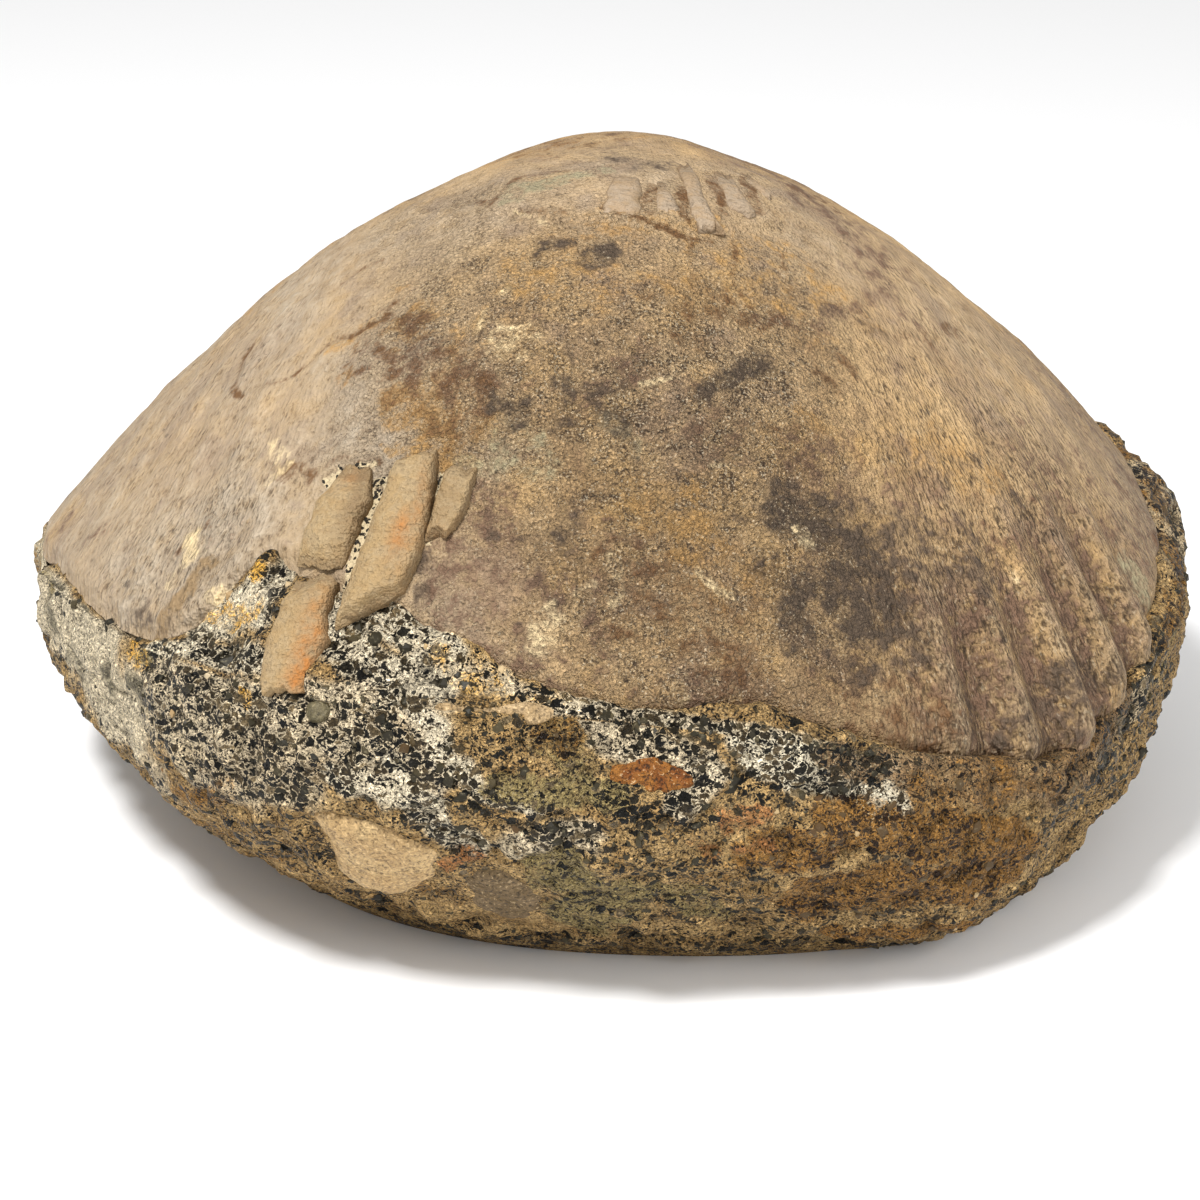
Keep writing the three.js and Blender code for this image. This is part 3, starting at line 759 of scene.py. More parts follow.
# ------------------------------------------------------------------ the finish of the rock
def rock_finish():
    """Dark sand grains of two sizes set in thin pale cement: angular cells that are dark as
    often as the black zone says, and the cement in the tones of the zones of the rock."""
    f = Finish("gritty_rock_finish", Specular_IOR_Level=0.25)
    flatter = {0: f.place, 1: (1, 1, 1.4)}
    layered = f.node("ShaderNodeVectorMath", {"operation": "MULTIPLY"}, flatter)
    at = f.shifted(layered, 1.0, 1.5)
    cloud = f.noise(2.4, 4.0, 0.7)
    fine = f.noise(0.32, 1.5, 0.65, Distortion=0.8)
    tiny = f.noise(0.19, 1.0, 0.5, Distortion=0.6)
    black = f.mark("black")
    white = f.mark("white")
    density = black * 0.9 + white * 0.2 + (cloud - 0.5) * 2.2 - f.mark("bare") * 0.7
    gap = f.cells(0.95, "DISTANCE_TO_EDGE", at)
    cell = f.cells(0.95, "F1", at).twin("Color")
    grain = f.fade(gap + (fine - 0.5) * 0.5 - f.fade(cloud, 0.45, 0.65) * 0.1, 0.04, 0.08)
    grain = grain * f.fade(density - 0.1 - f.part(cell, 0), -0.02, 0.02)
    crumb = f.cells(0.38, "F1", at)
    small = f.fade(crumb + (fine - 0.5) * 1.0, 0.46, 0.4)
    small = small * f.fade(density * 0.85 + 0.06 - f.part(crumb.twin("Color"), 0), -0.02, 0.02)

    cement = f.mix(f.fade(cloud, 0.38, 0.62), tone(186, 153, 101), tone(150, 118, 71))
    cement = f.mix(white, cement, tone(230, 217, 188))
    stir = (cloud - 0.5) * 2.4 + (fine - 0.5) * 1.2
    shades = {
        "brown": tone(140, 112, 78), "green": tone(146, 128, 82), "ochre": tone(142, 102, 48),
        "rust": tone(166, 112, 64), "gold": tone(222, 170, 76), "slate": tone(118, 110, 90),
    }
    for name, shade in shades.items():
        cement = f.mix(f.stain(name, stir, 0.1, 0.9), cement, shade)
    # The last term of light is painted shade in the rock's hollows.
    light = 1.15 + (fine - 0.5) * 3.6 + f.fade(fine, 0.62, 0.66) * 0.3 - f.mark("deep") * 0.7
    # The fade of fine above 0.62 in light is a painted highlight on the raised cement.
    cement = f.scaled(cement, light)
    pit = either(f.fade(fine, 0.38, 0.36), f.fade(tiny, 0.38, 0.35))
    cement = f.mix(pit * (0.9 - f.mark("bare") * 0.6), cement, tone(44, 32, 19))
    cement = f.mix(f.fade(tiny, 0.62, 0.66) * (0.2 + white * 0.5), cement, tone(226, 208, 168))

    stops = [
        (0.0, tone(14, 13, 9)), (0.45, tone(32, 29, 20)), (0.8, tone(72, 60, 40)),
        (1.0, tone(128, 110, 80)),
    ]
    dark = f.node("ShaderNodeValToRGB", {"stops": stops}, {0: f.part(cell, 1)})
    dark = f.mix(f.mark("ochre") * 0.75, dark, tone(54, 32, 12))
    dark = f.scaled(dark, light)

    covered = either(grain, small)
    f.feed("Base Color", f.mix(covered * (1 - f.mark("bare") * 0.3), cement, dark))
    f.feed("Roughness", 0.85 - covered * 0.3 - fine * 0.2)
    f.relief(fine * 1.7 + cloud * 2.0)
    return f.material


# ------------------------------------------------------------------ the rock
ROCK_COLUMNS = 620
ROCK_ROWS = 132
# The rock's skin starts under the cast's edge, and its hidden foot lies deeper still.
SKIN_UNDER = 0.08
FOOT_UNDER = 0.09
FOOT_DEPTH = 3.6

# Zones: bearing and reach of points on the rock's side, then half width, softness and strength.
ROCK_ZONES = {
    "black": [
        (225, 0.92, 229, 0.84, 235.5, 0.84, 1.7, 1.3, 0.85),
        (225, 1.26, 234, 1.17, 243, 1.11, 249.5, 1.16, 2.7, 1.5, 0.7),
        (230.5, 1.55, 240, 1.46, 247, 1.29, 1.5, 1.3, 0.75),
        (235.2, 0.72, 238.2, 0.74, 1.1, 0.7, 0.9), (227, 1.01, 232.5, 1.07, 1, 1, 1),
        (249, 1.06, 253, 1.21, 1.2, 1, 1), (239.5, 1.36, 243, 1.49, 0.9, 1, 0.95),
        (242.5, 1.81, 242.8, 2.08, 0.6, 0.6, 0.8), (234, 2.05, 240, 2.01, 0.8, 1, 0.7),
        (254.2, 1.26, 257, 1.35, 0.9, 0.8, 1),
        (264, 0.91, 272, 0.92, 280, 0.94, 287, 0.97, 293, 1.01, 1.7, 0.9, 0.8),
        (244, 0.82, 250, 0.87, 1.4, 1, 0.6), (245, 0.7, 249.5, 0.72, 0.5, 0.5, 0.9),
        (255.5, 0.8, 259.5, 0.82, 1, 1, 0.5), (263.2, 0.85, 265.2, 0.83, 0.6, 0.4, 1),
        (265, 0.9, 269, 0.92, 272.5, 1.03, 279, 1.03, 285, 1.08, 290, 1.14, 1.6, 1, 0.75),
        (260.5, 1.02, 263.2, 1.07, 261.8, 1.17, 0.7, 0.6, 0.85),
        (259, 1.14, 260, 1.3, 1.2, 1, 0.65), (258, 1.45, 264, 1.59, 268, 1.73, 1.3, 1, 0.8),
        (251.8, 1.53, 254, 1.66, 256.5, 1.75, 0.7, 0.7, 0.8),
        (277, 1.15, 276, 1.37, 273, 1.5, 270, 1.43, 1.5, 1.2, 0.8),
        (281, 1.17, 288, 1.23, 1.9, 1, 0.7), (268, 1.96, 276.5, 1.85, 280, 2.04, 1.5, 1.9, 0.55),
        (285, 1.54, 294, 1.62, 305, 1.85, 1.5, 1.5, 0.5),
        (334, 0.89, 331, 1.23, 322, 1.25, 2.2, 1.2, 0.9),
        (358, 0.85, 346, 0.86, 338, 0.95, 2, 1.5, 0.6),
        (324, 1.2, 316, 1.3, 311, 1.5, 1.4, 1, 0.75),
        (312, 1.59, 318, 1.45, 325, 1.5, 1.4, 1, 0.85), (308.2, 2.27, 310.2, 2.12, 0.8, 0.6, 0.85),
        (239.8, 2.97, 256.2, 2.83, 276, 2.85, 292.2, 2.83, 306, 2.97, 0.7, 0.6, 0.75),
        (238.8, 2.55, 235, 2.91, 0.7, 0.7, 0.7), (244.3, 2.46, 241.8, 2.71, 0.6, 0.6, 0.8),
    ],
    "white": [
        (227, 0.76, 235, 0.75, 1.2, 1, 0.9),
        (224, 0.98, 228, 0.89, 233, 0.86, 237, 0.87, 2, 1.2, 0.9),
        (223, 1.21, 242, 1.03, 251, 0.94, 3.8, 2.3, 0.6), (230.5, 1.51, 243, 1.4, 1.9, 1.9, 0.5),
        (242.8, 0.7, 249.5, 0.73, 255.2, 0.78, 1, 0.8, 0.85),
        (247, 1.35, 253.5, 1.48, 256.5, 1.79, 1.2, 0.8, 0.85),
        (251.2, 0.91, 255.2, 1.18, 258.8, 1.4, 263, 1.45, 0.7, 0.8, 0.85),
        (251.2, 1.26, 255.2, 1.49, 0.5, 0.6, 0.9),
        (264, 0.91, 270, 0.92, 280, 0.94, 287, 0.97, 293, 1.01, 1.7, 1, 0.7),
        (243, 0.77, 248, 0.81, 254, 0.87, 2.2, 1.2, 0.85), (249, 1.15, 254, 1.3, 2, 1, 0.6),
        (252, 0.8, 260, 0.86, 264, 0.88, 1, 1.2, 0.6), (269, 1.03, 277, 1.11, 1.3, 1, 0.6),
        (282.5, 1.02, 288.2, 1.11, 292.5, 1.25, 2.1, 0.8, 1), (277.5, 1.19, 276, 1.37, 1.2, 1, 0.7),
        (260, 1.76, 267, 1.65, 1.3, 1.2, 0.6), (264.5, 1.9, 265.5, 2.01, 0.8, 0.8, 0.5),
        (213, 0.96, 210, 1.2, 222, 1.82, 2.5, 2.3, 0.5),
        (186, 1.1, 200, 1.1, 208, 1.2, 216, 1.5, 5, 3, 0.75),
        (227.5, 0.8, 233.5, 0.71, 2.2, 1, 0.85), (332, 1, 326, 1.22, 1.4, 1, 0.5),
    ],
    "green": [
        (260, 1.36, 265, 1.4, 269.5, 1.37, 1, 1, 0.9), (265.5, 1.05, 267, 1.26, 1.3, 1.2, 0.6),
        (264, 1.98, 269.5, 2.13, 265, 2.52, 2.3, 2.7, 0.9),
        (274.5, 2.16, 278.5, 2.44, 1.3, 1.5, 0.6),
        (343.8, 0.87, 340, 1.1, 335.2, 1.22, 0.4, 0.6, 0.8), (197, 1.11, 193, 0.89, 0.5, 0.8, 0.5),
        (220.8, 1.06, 223.2, 1.07, 0.5, 0.5, 0.9),
    ],
    "ochre": [
        (282, 1.71, 289.5, 1.49, 299, 1.48, 306, 1.76, 2.3, 2.1, 0.95),
        (287, 2.19, 294.5, 1.93, 303, 1.94, 2.3, 2.5, 1), (290, 2.58, 303, 2.49, 1, 1.3, 1),
        (228, 1.9, 235, 1.58, 0.8, 1.2, 0.6), (222, 2.35, 236, 2.32, 0.8, 1.3, 0.3),
        (297, 1.2, 304.5, 1.29, 1.2, 1.7, 0.45), (277, 1.73, 278, 1.91, 1, 1.5, 0.4),
        (265, 1, 266.5, 1.12, 1, 1.2, 0.5), (359, 0.8, 347, 0.9, 339, 0.95, 2.5, 2, 0.6),
        (300, 1.1, 312, 1.2, 320, 1.1, 1.5, 1.5, 0.4), (246, 2.3, 252, 2.26, 0.8, 1, 0.3),
    ],
    "rust": [
        (279, 1.52, 281.5, 1.42, 0.6, 1, 0.8), (253.6, 1.98, 256.4, 1.87, 0.5, 0.9, 0.7),
        (276, 1.66, 277.2, 1.73, 0.6, 0.8, 0.5), (279.8, 1.71, 281.8, 1.65, 0.6, 0.8, 0.6),
    ],
    "brown": [
        (291, 1, 300, 1.06, 308, 1.17, 316, 1.2, 325, 1, 2.2, 3, 0.85),
    ],
    "slate": [
        (194.5, 0.97, 199, 0.95, 0.7, 1, 0.8), (205.5, 0.94, 208, 0.98, 0.6, 0.9, 0.8),
        (197, 1.16, 198.5, 1.24, 0.6, 1, 0.7), (214.5, 1.24, 216, 1.32, 0.7, 1, 0.8),
        (220.5, 1.2, 222, 1.27, 0.7, 1, 0.7), (204, 1.35, 207, 1.5, 0.6, 1.2, 0.5),
    ],
    "gold": [
        (231, 0.66, 231.6, 0.69, 0.5, 0.4, 0.9), (236.7, 1.01, 237.5, 1.06, 0.4, 0.4, 0.9),
        (219, 1, 221.5, 1.08, 0.8, 0.8, 0.5), (227, 0.78, 230.5, 0.76, 233.5, 0.74, 1, 1, 0.45),
        (254.5, 0.8, 260, 0.87, 264, 0.89, 0.9, 1.4, 0.4),
    ],
    "bare": [
        (227, 0.78, 230.5, 0.76, 233.5, 0.74, 1.8, 0.8, 1), (253.5, 0.87, 259, 0.89, 0.8, 1, 0.6),
        (250, 2.54, 260, 2.62, 1.3, 1, 0.7), (224.5, 0.88, 216.5, 1.04, 0.4, 0.6, 0.3),
        (242, 2.25, 244.5, 2.65, 1, 1, 0.4),
        (211.5, 1.23, 219, 1.48, 226.5, 1.86, 231.5, 2.33, 237, 2.65, 1.3, 1, 0.75),
        (186, 1.1, 203, 1.05, 216, 1.4, 5, 2.5, 0.9),
        (304, 1.15, 312, 1.4, 305, 1.52, 1.3, 1.3, 0.5),
    ],
}


def crags(point):
    """Broken stone: noise of 3 mm, then lumps of two sizes packed side by side."""
    lumps, kind = cobbles(point, 1.9, 61)
    crumbs, _ = cobbles(point, 0.95, 71)
    uneven = (0.9 * lumps - 0.5) * (0.4 + 0.9 * kind)
    return 0.5 * fractal(point, 3, 3, 53) + uneven + 0.4 * crumbs - 0.23


def rock_lift(bearing, reach, point):
    """Height of the rock over the plain lump: the step down from the cast at the seam, then
    lumps of three sizes, all dying away at the flat base."""
    edge = cast_edge(bearing)
    from_seam = np.maximum(reach - edge, 0) * 45
    above = np.maximum(edge - reach, 0) * 55
    step = ring(SEAM_STEP, bearing) * np.exp(-from_seam / 5) - 0.3 * np.exp(-from_seam / 1.2)
    step = step - 0.8 * above
    rough = 0.8 * fractal(point, 9, 2, 51) + crags(point)
    free = fade(reach, 3, 2.8) * (1 - 0.85 * stone_cover(bearing, reach))
    for spot in ROCK_SWELLINGS:
        step = step + spot["out"] * swelling(spot, bearing, reach)
    return step + ring(ROCK_STAND_OUT, bearing) * fade(reach, 3, 1) + rough * free


def rock_skin(bearing, reach):
    """Points on the rough rock and the plain lump's normals there."""
    point, _, _, normal = frame_at(bearing, reach)
    skin = point + normal * rock_lift(bearing, reach, point)[..., None]
    skin[..., 2] = np.maximum(skin[..., 2], 0)
    return skin, normal


def rock_marks(bearing, reach, point):
    """The zones, with their outlines shaken by noise, and a wild mixture round the back."""
    laid = unrolled(bearing, reach)
    shake = np.stack([fractal(point, 3, 3, 81), fractal(point, 3, 3, 85)], axis=-1)
    marks = {}
    for name, rows in ROCK_ZONES.items():
        paths = [np.reshape(row[:-3], (-1, 2)).T for row in rows]
        rows = [(*unrolled(*path).ravel(), *row[-3:]) for path, row in zip(paths, rows)]
        marks[name] = strokes(laid, shake, rows)
    behind = fade(np.abs(laid[..., 0]), 66, 90)
    for seed, name in enumerate(("black", "white", "green", "ochre")):
        wild = fade(fractal(point, 14, 3, 90 + 5 * seed), -0.1, 0.6)
        marks[name] = np.maximum(marks[name], 0.85 * wild * behind)
    few = 0.34 + 0.2 * shake[..., 0] - 0.2 * marks["bare"]
    marks["black"] = np.clip(np.maximum(marks["black"], few), 0, 1)
    return marks


def make_rock():
    """The rock: hidden seat, a rise beside the cast's lip, the rough side, and the flat base."""
    turn = np.arange(ROCK_COLUMNS) / ROCK_COLUMNS * 2 * np.pi
    bearing = np.degrees(turn - 0.5 * np.cos(turn))
    edge = cast_edge(bearing)
    below, _, _, out = frame_at(bearing, edge - FOOT_UNDER)
    foot = below - out * FOOT_DEPTH
    seat = seat_rows(foot, np.array([*CREST[:2], SEAT_HEIGHT - GAP]))
    rows = [*reversed(seat), foot]
    down = np.linspace(0, 1, ROCK_ROWS)[:, None] ** 1.15
    start = edge - SKIN_UNDER
    reach = start + (3 - start) * down
    skin, _ = rock_skin(bearing, reach)
    skin[-1, :, 2] = 0
    hidden = len(rows)
    rows = np.concatenate([np.array(rows), skin, np.broadcast_to(BASE_MIDDLE, skin[:1].shape)])
    marks = rock_marks(np.broadcast_to(bearing, reach.shape), reach, skin)
    # Painted shade in the hollows between the crags, darkest where the rock lies lowest.
    marks["deep"] = fade(crags(lump(bearing, reach)), 0.2, -0.8)
    marks = carried(marks, hidden, 1)
    points, faces = loft(rows)
    circles = np.concatenate([np.linspace(0, 0.3, hidden), 0.31 + 0.62 * down[:, 0], [1.0]])
    flat_map = disc_map(rows, ROCK_COLUMNS, circles)
    piece = build("rock_matrix_stone", points, faces, rock_finish(), marks=marks, flat_map=flat_map)
    tie(piece, "gritty_rock", "rock_matrix")


# ------------------------------------------------------------------ stones in the rock
# Bearing and reach of the middle, a ring of outline radii from along the contour round to
# down the slope, half thickness, and how deep the middle is sunk.
STONES = {
    "pebble_tan": (
        (248, 1.88), (5.8, 5.6, 6.1, 8.2, 7.4, 5.4, 4.6, 5.6, 4.6, 3.6, 3.6, 4.6), 1.8, 1.15,
    ),
    "pebble_grey": (
        (258, 2.30), (3.7, 3.7, 4.8, 6.0, 5.6, 4.4, 3.7, 4.0, 4.6, 5.4, 4.8, 4.0), 1.6, 1.1,
    ),
    "pebble_olive": (
        (244.3, 1.04), (1.1, 1.1, 1.1, 1.1, 1.2, 1.2, 1.2, 1.2, 1.1, 1.1, 1.1, 1.1), 1.1, 0.4,
    ),
    "chip_orange": (
        (273, 1.26), (3.8, 2.6, 1.7, 1.5, 1.7, 2.4, 3.9, 2.6, 1.9, 1.8, 2.0, 2.8), 1.3, 0.85,
    ),
    "shell_sliver": (
        (259.5, 0.94), (5.2, 1.5, 0.6, 0.5, 0.5, 0.8, 5.6, 0.9, 0.5, 0.5, 0.6, 1.2), 0.5, 0.22,
    ),
}
# Slot, how uneven the stone is, its three tones, and its dullness, cloud size and wear.
STONE_FINISHES = {
    "pebble_tan": (
        "tan_pebble", 0.09, (192, 162, 115), (168, 138, 94), (120, 94, 60), 0.5, 3.0, 0.5,
    ),
    "pebble_grey": (
        "grey_pebble", 0.12, (118, 98, 70), (96, 78, 52), (60, 48, 32), 0.7, 3.0, 0.5,
    ),
    "pebble_olive": (
        "olive_pebble", 0.05, (112, 102, 76), (88, 80, 56), (56, 50, 36), 0.4, 1.5, 0.2,
    ),
    "chip_orange": (
        "orange_chip", 0.14, (118, 66, 20), (142, 92, 36), (60, 38, 20), 0.6, 1.8, 0.8,
    ),
    "shell_sliver": (
        "shell", 0.15, (178, 152, 114), (152, 126, 88), (104, 82, 54), 0.5, 3.0, 0.5,
    ),
}
STONE_COLUMNS = 96
STONE_ROWS = 50


def stone_cover(bearing, reach):
    """1 on the rock beside and under the stones, falling to 0 a little way out."""
    laid = unrolled(bearing, reach)
    cover = np.zeros(laid.shape[:-1])
    for place, outline, _, _ in STONES.values():
        apart = laid - unrolled(*place)
        size = ring(outline, np.degrees(np.arctan2(apart[..., 1], apart[..., 0])))
        away = np.hypot(apart[..., 0], apart[..., 1]) - size
        cover = np.maximum(cover, fade(away, 1.2, 0.2))
    return cover


def make_stone(name, slot, uneven, finish):
    """A stone set in the rock: a flat-topped ball whose outline is a ring of radii, pushed
    about by noise, in the frame of the rock's surface."""
    place, outline, half, sunk = STONES[name]
    point, along, down, normal = frame_at(*place)
    turn = np.arange(STONE_COLUMNS) / STONE_COLUMNS * 2 * np.pi
    lift = np.linspace(-np.pi / 2, np.pi / 2, STONE_ROWS)[:, None]
    circle = np.stack([np.cos(turn), np.sin(turn)], axis=-1)
    flat = circle * ring(outline, np.degrees(turn))[:, None]
    level = (np.cos(lift) ** 0.5)[..., None] * flat
    up = half * np.broadcast_to(np.sin(lift), level.shape[:2])
    stone = np.concatenate([level, up[..., None]], axis=-1)
    push = uneven * fractal(stone + len(name), max(outline) * 0.35, 4, 111)
    stone = stone * (1 + push)[..., None]
    points, faces = loft(point - normal * sunk + stone @ np.stack([along, down, normal]))
    tie(build(f"{name}_stone", points, faces, finish), slot, name)


def pebble_finish(name, tones, dull, size, worn):
    """Smooth stone with soft clouds of a second tone, small flecks and darker pits."""
    f = Finish(name, Specular_IOR_Level=0.3)
    main, second, spot = (tone(*values) for values in tones)
    cloud = f.noise(size, 4.0, 0.65)
    fine = f.noise(0.34, 1.5, 0.65, Distortion=0.6)
    colour = f.mix(f.fade(cloud, 0.38, 0.62), main, second)
    colour = f.mix(f.fade(fine, 0.44, 0.34) * worn, colour, spot)
    colour = f.mix(f.fade(fine, 0.62, 0.7) * worn * 0.5, colour, tone(212, 190, 150))
    light = 1 + (fine - 0.5) * 2 + (cloud - 0.5) * 0.8
    f.feed("Base Color", f.scaled(colour, light))
    f.feed("Roughness", dull + fine * 0.25)
    f.relief(fine * 0.6 * worn + cloud * 1.2)
    return f.material


def make_stones():
    for name, (slot, uneven, *tones, dull, size, worn) in STONE_FINISHES.items():
        make_stone(name, slot, uneven, pebble_finish(f"{name}_finish", tones, dull, size, worn))


# ------------------------------------------------------------------ strips of shell
STRIP_AROUND = 64
STRIP_STEPS = 90


def strip(path, width, height, steep=3.0, gentle=2.0, slant=(0.0, 0.0), taper=(0.5, 0.3), seed=0):
    """One rib of shell carried along plan points: an arch h (1 - |x|^p)^(1/p), gentle on the
    left and steep on the right, its ends broken on a slant, its top and edges pushed about by
    noise, its underside sunk. Gives rows of points and the marks along (mm), across (-1 left
    to 1 right) and edge (1 at the broken edges)."""
    path = np.asarray(path, float)
    runs = np.concatenate([[0], np.cumsum(np.linalg.norm(np.diff(path, axis=0), axis=-1))])
    length = runs[-1]
    turn = np.arange(STRIP_AROUND) / STRIP_AROUND * 2 * np.pi
    x = np.sign(np.cos(turn)) * np.abs(np.cos(turn)) ** 0.8
    share = np.linspace(0, 1, STRIP_STEPS)[:, None]
    wander = np.stack([x * 3 + seed * 9.1, 0 * x, 5 + 0 * x], axis=-1)
    ragged = 0.55 * fractal(wander, 1.4, 4, 131)
    pushed = np.where(share < 0.5, slant[0], slant[1]) * x + ragged
    distance = share * length + pushed * fade(np.abs(share - 0.5), 0.15, 0.5)
    inside = np.clip(distance, 0, length)
    plan = np.stack([np.interp(inside, runs, path[:, k]) for k in range(2)], axis=-1)
    heading = unit(path[-1] - path[0])
    plan = plan + (distance - inside)[..., None] * heading
    point, _, _, normal = frame_at(*from_plan(plan[..., 0], plan[..., 1]))
    left = unit(np.cross(np.array([*heading, 0.0]), normal))
    half = np.interp(share, np.linspace(0, 1, len(width)), width) / 2
    half = half * (1 + 0.10 * fractal(point, 1.5, 4, 135 + seed))
    power = gentle + (steep - gentle) * fade(x, 0.3, -0.3)
    arch = np.maximum(1 - np.abs(x) ** power, 0) ** (1 / power)
    ends = fade(share, 0, taper[0] / length) * fade(share, 1, 1 - taper[1] / length)
    rough = 0.22 * fractal(point, 2.0, 4, 141 + seed)
    top = 0.1 + height * arch * (0.25 + 0.75 * ends) + rough * arch
    lift = np.where(np.sin(turn) >= 0, top, -0.7 + 0.15 * np.abs(x))
    rows = point + left * (half * x)[..., None] + normal * lift[..., None]
    ends_at = [np.broadcast_to(row.mean(axis=0), (1, *row.shape)) for row in (rows[0], rows[-1])]
    rows = np.concatenate([ends_at[0], rows, ends_at[1]])
    edge = np.maximum(fade(np.abs(x), 0.8, 1.0), fade(ends, 0.6, 0))
    grids = {"along": distance, "across": np.broadcast_to(-x, distance.shape), "edge": edge}
    return rows, {name: np.pad(grid, ((1, 1), (0, 0)), "edge") for name, grid in grids.items()}


def join(parts):
    """Several lofts and their marks as one set of points, faces and marks."""
    points, faces, marks, start = [], [], [], 0
    for rows, grids in parts:
        own_points, own_faces = loft(rows)
        points.append(own_points)
        faces += [f + start for f in own_faces]
        marks.append({name: per_point(grid) for name, grid in grids.items()})
        start += len(own_points)
    marks = {name: np.concatenate([own[name] for own in marks]) for name in marks[0]}
    return np.concatenate(points), faces, marks


def shell_finish(name, main, second, stain_tone, stained, rough):
    """Old shell: cream and tan clouds with faint growth lines across the rib, darker and more
    broken at the edges, with soft iron stains and the grain of weathered chalk."""
    f = Finish(name, Specular_IOR_Level=0.3)
    along, across = f.mark("along"), f.mark("across")
    bowed = {0: along + across * across * 0.5, 1: across * 0.4}
    growth = f.noise(0.5, 2.0, 0.6, at=f.node("ShaderNodeCombineXYZ", inputs=bowed))
    cloud = f.noise(1.6, 3.0, 0.7)
    fine = f.noise(0.34, 1.5, 0.65)
    colour = f.mix(f.fade(cloud, 0.4, 0.6), main, second)
    colour = f.mix(f.fade(growth, 0.48, 0.34) * 0.35, colour, tone(140, 112, 74))
    stain = f.mark("stain") * (1 + (cloud - 0.5) * 4)
    colour = f.mix(stain * stained, colour, stain_tone)
    # The shade mark is painted shade on the strips' right sides, and a darker tone at some upper
    # ends and over most of rib_right.
    shade = f.mark("shade") * (1 + (cloud - 0.5) * 2)
    colour = f.mix(shade * 0.7, colour, tone(122, 101, 74))
    edge = f.fade(f.mark("edge") + (fine - 0.5) * 2 + (cloud - 0.5) * 2, 0.5, 0.8)
    colour = f.mix(edge * 0.5, colour, tone(104, 82, 56))
    pit = f.fade(fine + (cloud - 0.5) * 0.8, 0.3, 0.24)
    colour = f.mix(pit * 0.3 * rough, colour, tone(84, 64, 42))
    light = 1 + (fine - 0.5) * 1.2 * rough + (cloud - 0.5) * 1.2
    f.feed("Base Color", f.scaled(colour, light))
    f.feed("Roughness", 0.55 + fine * 0.35)
    f.relief(growth * 0.3 + (fine + cloud) * rough)
    return f.material


# The strips left on the flank: plan path from the crest, widths along it, height and shape.
# Iron stains and shaded smooth parts are spots: share of the strip's length, place across
# it, half sizes of both, and strength.
SHELL_STRIPS = {
    "rib_left_upper": {
        "path": [(-21.8, -34.7), (-23.0, -37.5), (-23.9, -39.3), (-24.8, -41.4)],
        "width": (2.6, 4.8, 5.2, 4.6), "height": 1.5, "steep": 2.2, "taper": (3.6, 1.6),
        "stain": [(0.12, 0.0, 0.12, 0.5, 0.4)],
        "shade": [(0.4, 0.75, 0.5, 0.4, 0.9)],
    },
    "rib_left_lower": {
        "path": [(-24.9, -42.2), (-25.8, -44.2), (-26.3, -46.0), (-27.5, -48.7)],
        "width": (4.2, 4.7, 5.2, 4.2), "height": 1.7, "gentle": 2.6, "steep": 2.0,
        "slant": (0.0, -0.5), "taper": (1.8, 0.1),
        "stain": [(0.7, 0.75, 0.5, 0.4, 0.9)],
        "shade": [(0.1, 0.2, 0.25, 0.6, 0.4)],
    },
    "rib_middle": {
        "path": [(-16.8, -36.0), (-17.3, -38.9), (-18.3, -41.8), (-19.5, -44.2), (-20.5, -46.2)],
        "width": (3.4, 4.3, 4.9, 5.2, 4.9), "height": 1.8,
        "slant": (0.7, 1.5), "taper": (0.9, 0.7),
        "stain": [(0.5, 0.45, 0.12, 0.35, 0.8), (0.36, 0.75, 0.3, 0.2, 0.5)],
        "shade": [(0.2, 0.7, 0.3, 0.35, 0.35), (0.8, 0.6, 0.3, 0.4, 0.3)],
    },
    "rib_right": {
        "path": [(-12.9, -37.8), (-13.5, -39.9), (-14.6, -42.4)],
        "width": (2.6, 3.0, 2.4), "height": 1.15, "gentle": 2.4, "steep": 4.0,
        "slant": (0.2, 0.5), "taper": (1.0, 0.3),
        "stain": [(1.0, 0.0, 0.15, 1.0, 0.7)],
        "shade": [(0.5, 0.0, 0.8, 1.2, 0.6)],
    },
}
# The short ribs on the crest: plan path from the crest, widths, height, and the shade of all.
CREST_RIBS = [
    ([(1.1, -7.0), (0.9, -10.0), (0.6, -13.6)], (2.2, 3.2, 3.3), 0.5),
    ([(4.1, -8.2), (4.8, -12.9)], (0.9, 2.2), 0.45),
    ([(6.3, -3.6), (7.0, -8.0), (7.6, -12.0), (8.5, -13.8)], (1.5, 1.8, 1.7, 2.7), 0.55),
    ([(9.8, -3.0), (10.4, -6.0), (11.4, -9.7)], (1.6, 1.9, 2.7), 0.5),
    ([(11.9, -1.4), (13.9, -5.2)], (0.9, 1.2, 0.8), 0.4),
]
CREST_RIB_TAPER = (2.4, 0.4)
CREST_RIB_SHADE = [(0.5, 0.9, 0.6, 0.35, 1), (0.0, 0.0, 0.4, 1.5, 0.9)]


def spots_on(marks, spots):
    """The strongest of several soft round spots on a strip."""
    share = marks["along"] / marks["along"].max()
    total = np.zeros_like(share)
    for where, side, long, wide, strength in spots:
        away = ((share - where) / long) ** 2 + ((marks["across"] - side) / wide) ** 2
        total = np.maximum(total, strength * np.exp(-away))
    return total


def spotted_strip(shape, stain, shade, seed):
    """A strip with its stain and shade among its marks."""
    rows, marks = strip(**shape, seed=seed)
    return rows, {**marks, "stain": spots_on(marks, stain), "shade": spots_on(marks, shade)}


def make_shell_strips():
    main, second, stain_tone = tone(171, 147, 110), tone(153, 128, 90), tone(164, 108, 54)
    finish = shell_finish("shell_finish", main, second, stain_tone, 0.8, 0.4)
    for seed, (name, shape) in enumerate(SHELL_STRIPS.items(), 1):
        shape = dict(shape)
        stain, shade = shape.pop("stain"), shape.pop("shade")
        points, faces, marks = join([spotted_strip(shape, stain, shade, seed)])
        tie(build(f"{name}_shell", points, faces, finish, marks=marks), "shell", name)


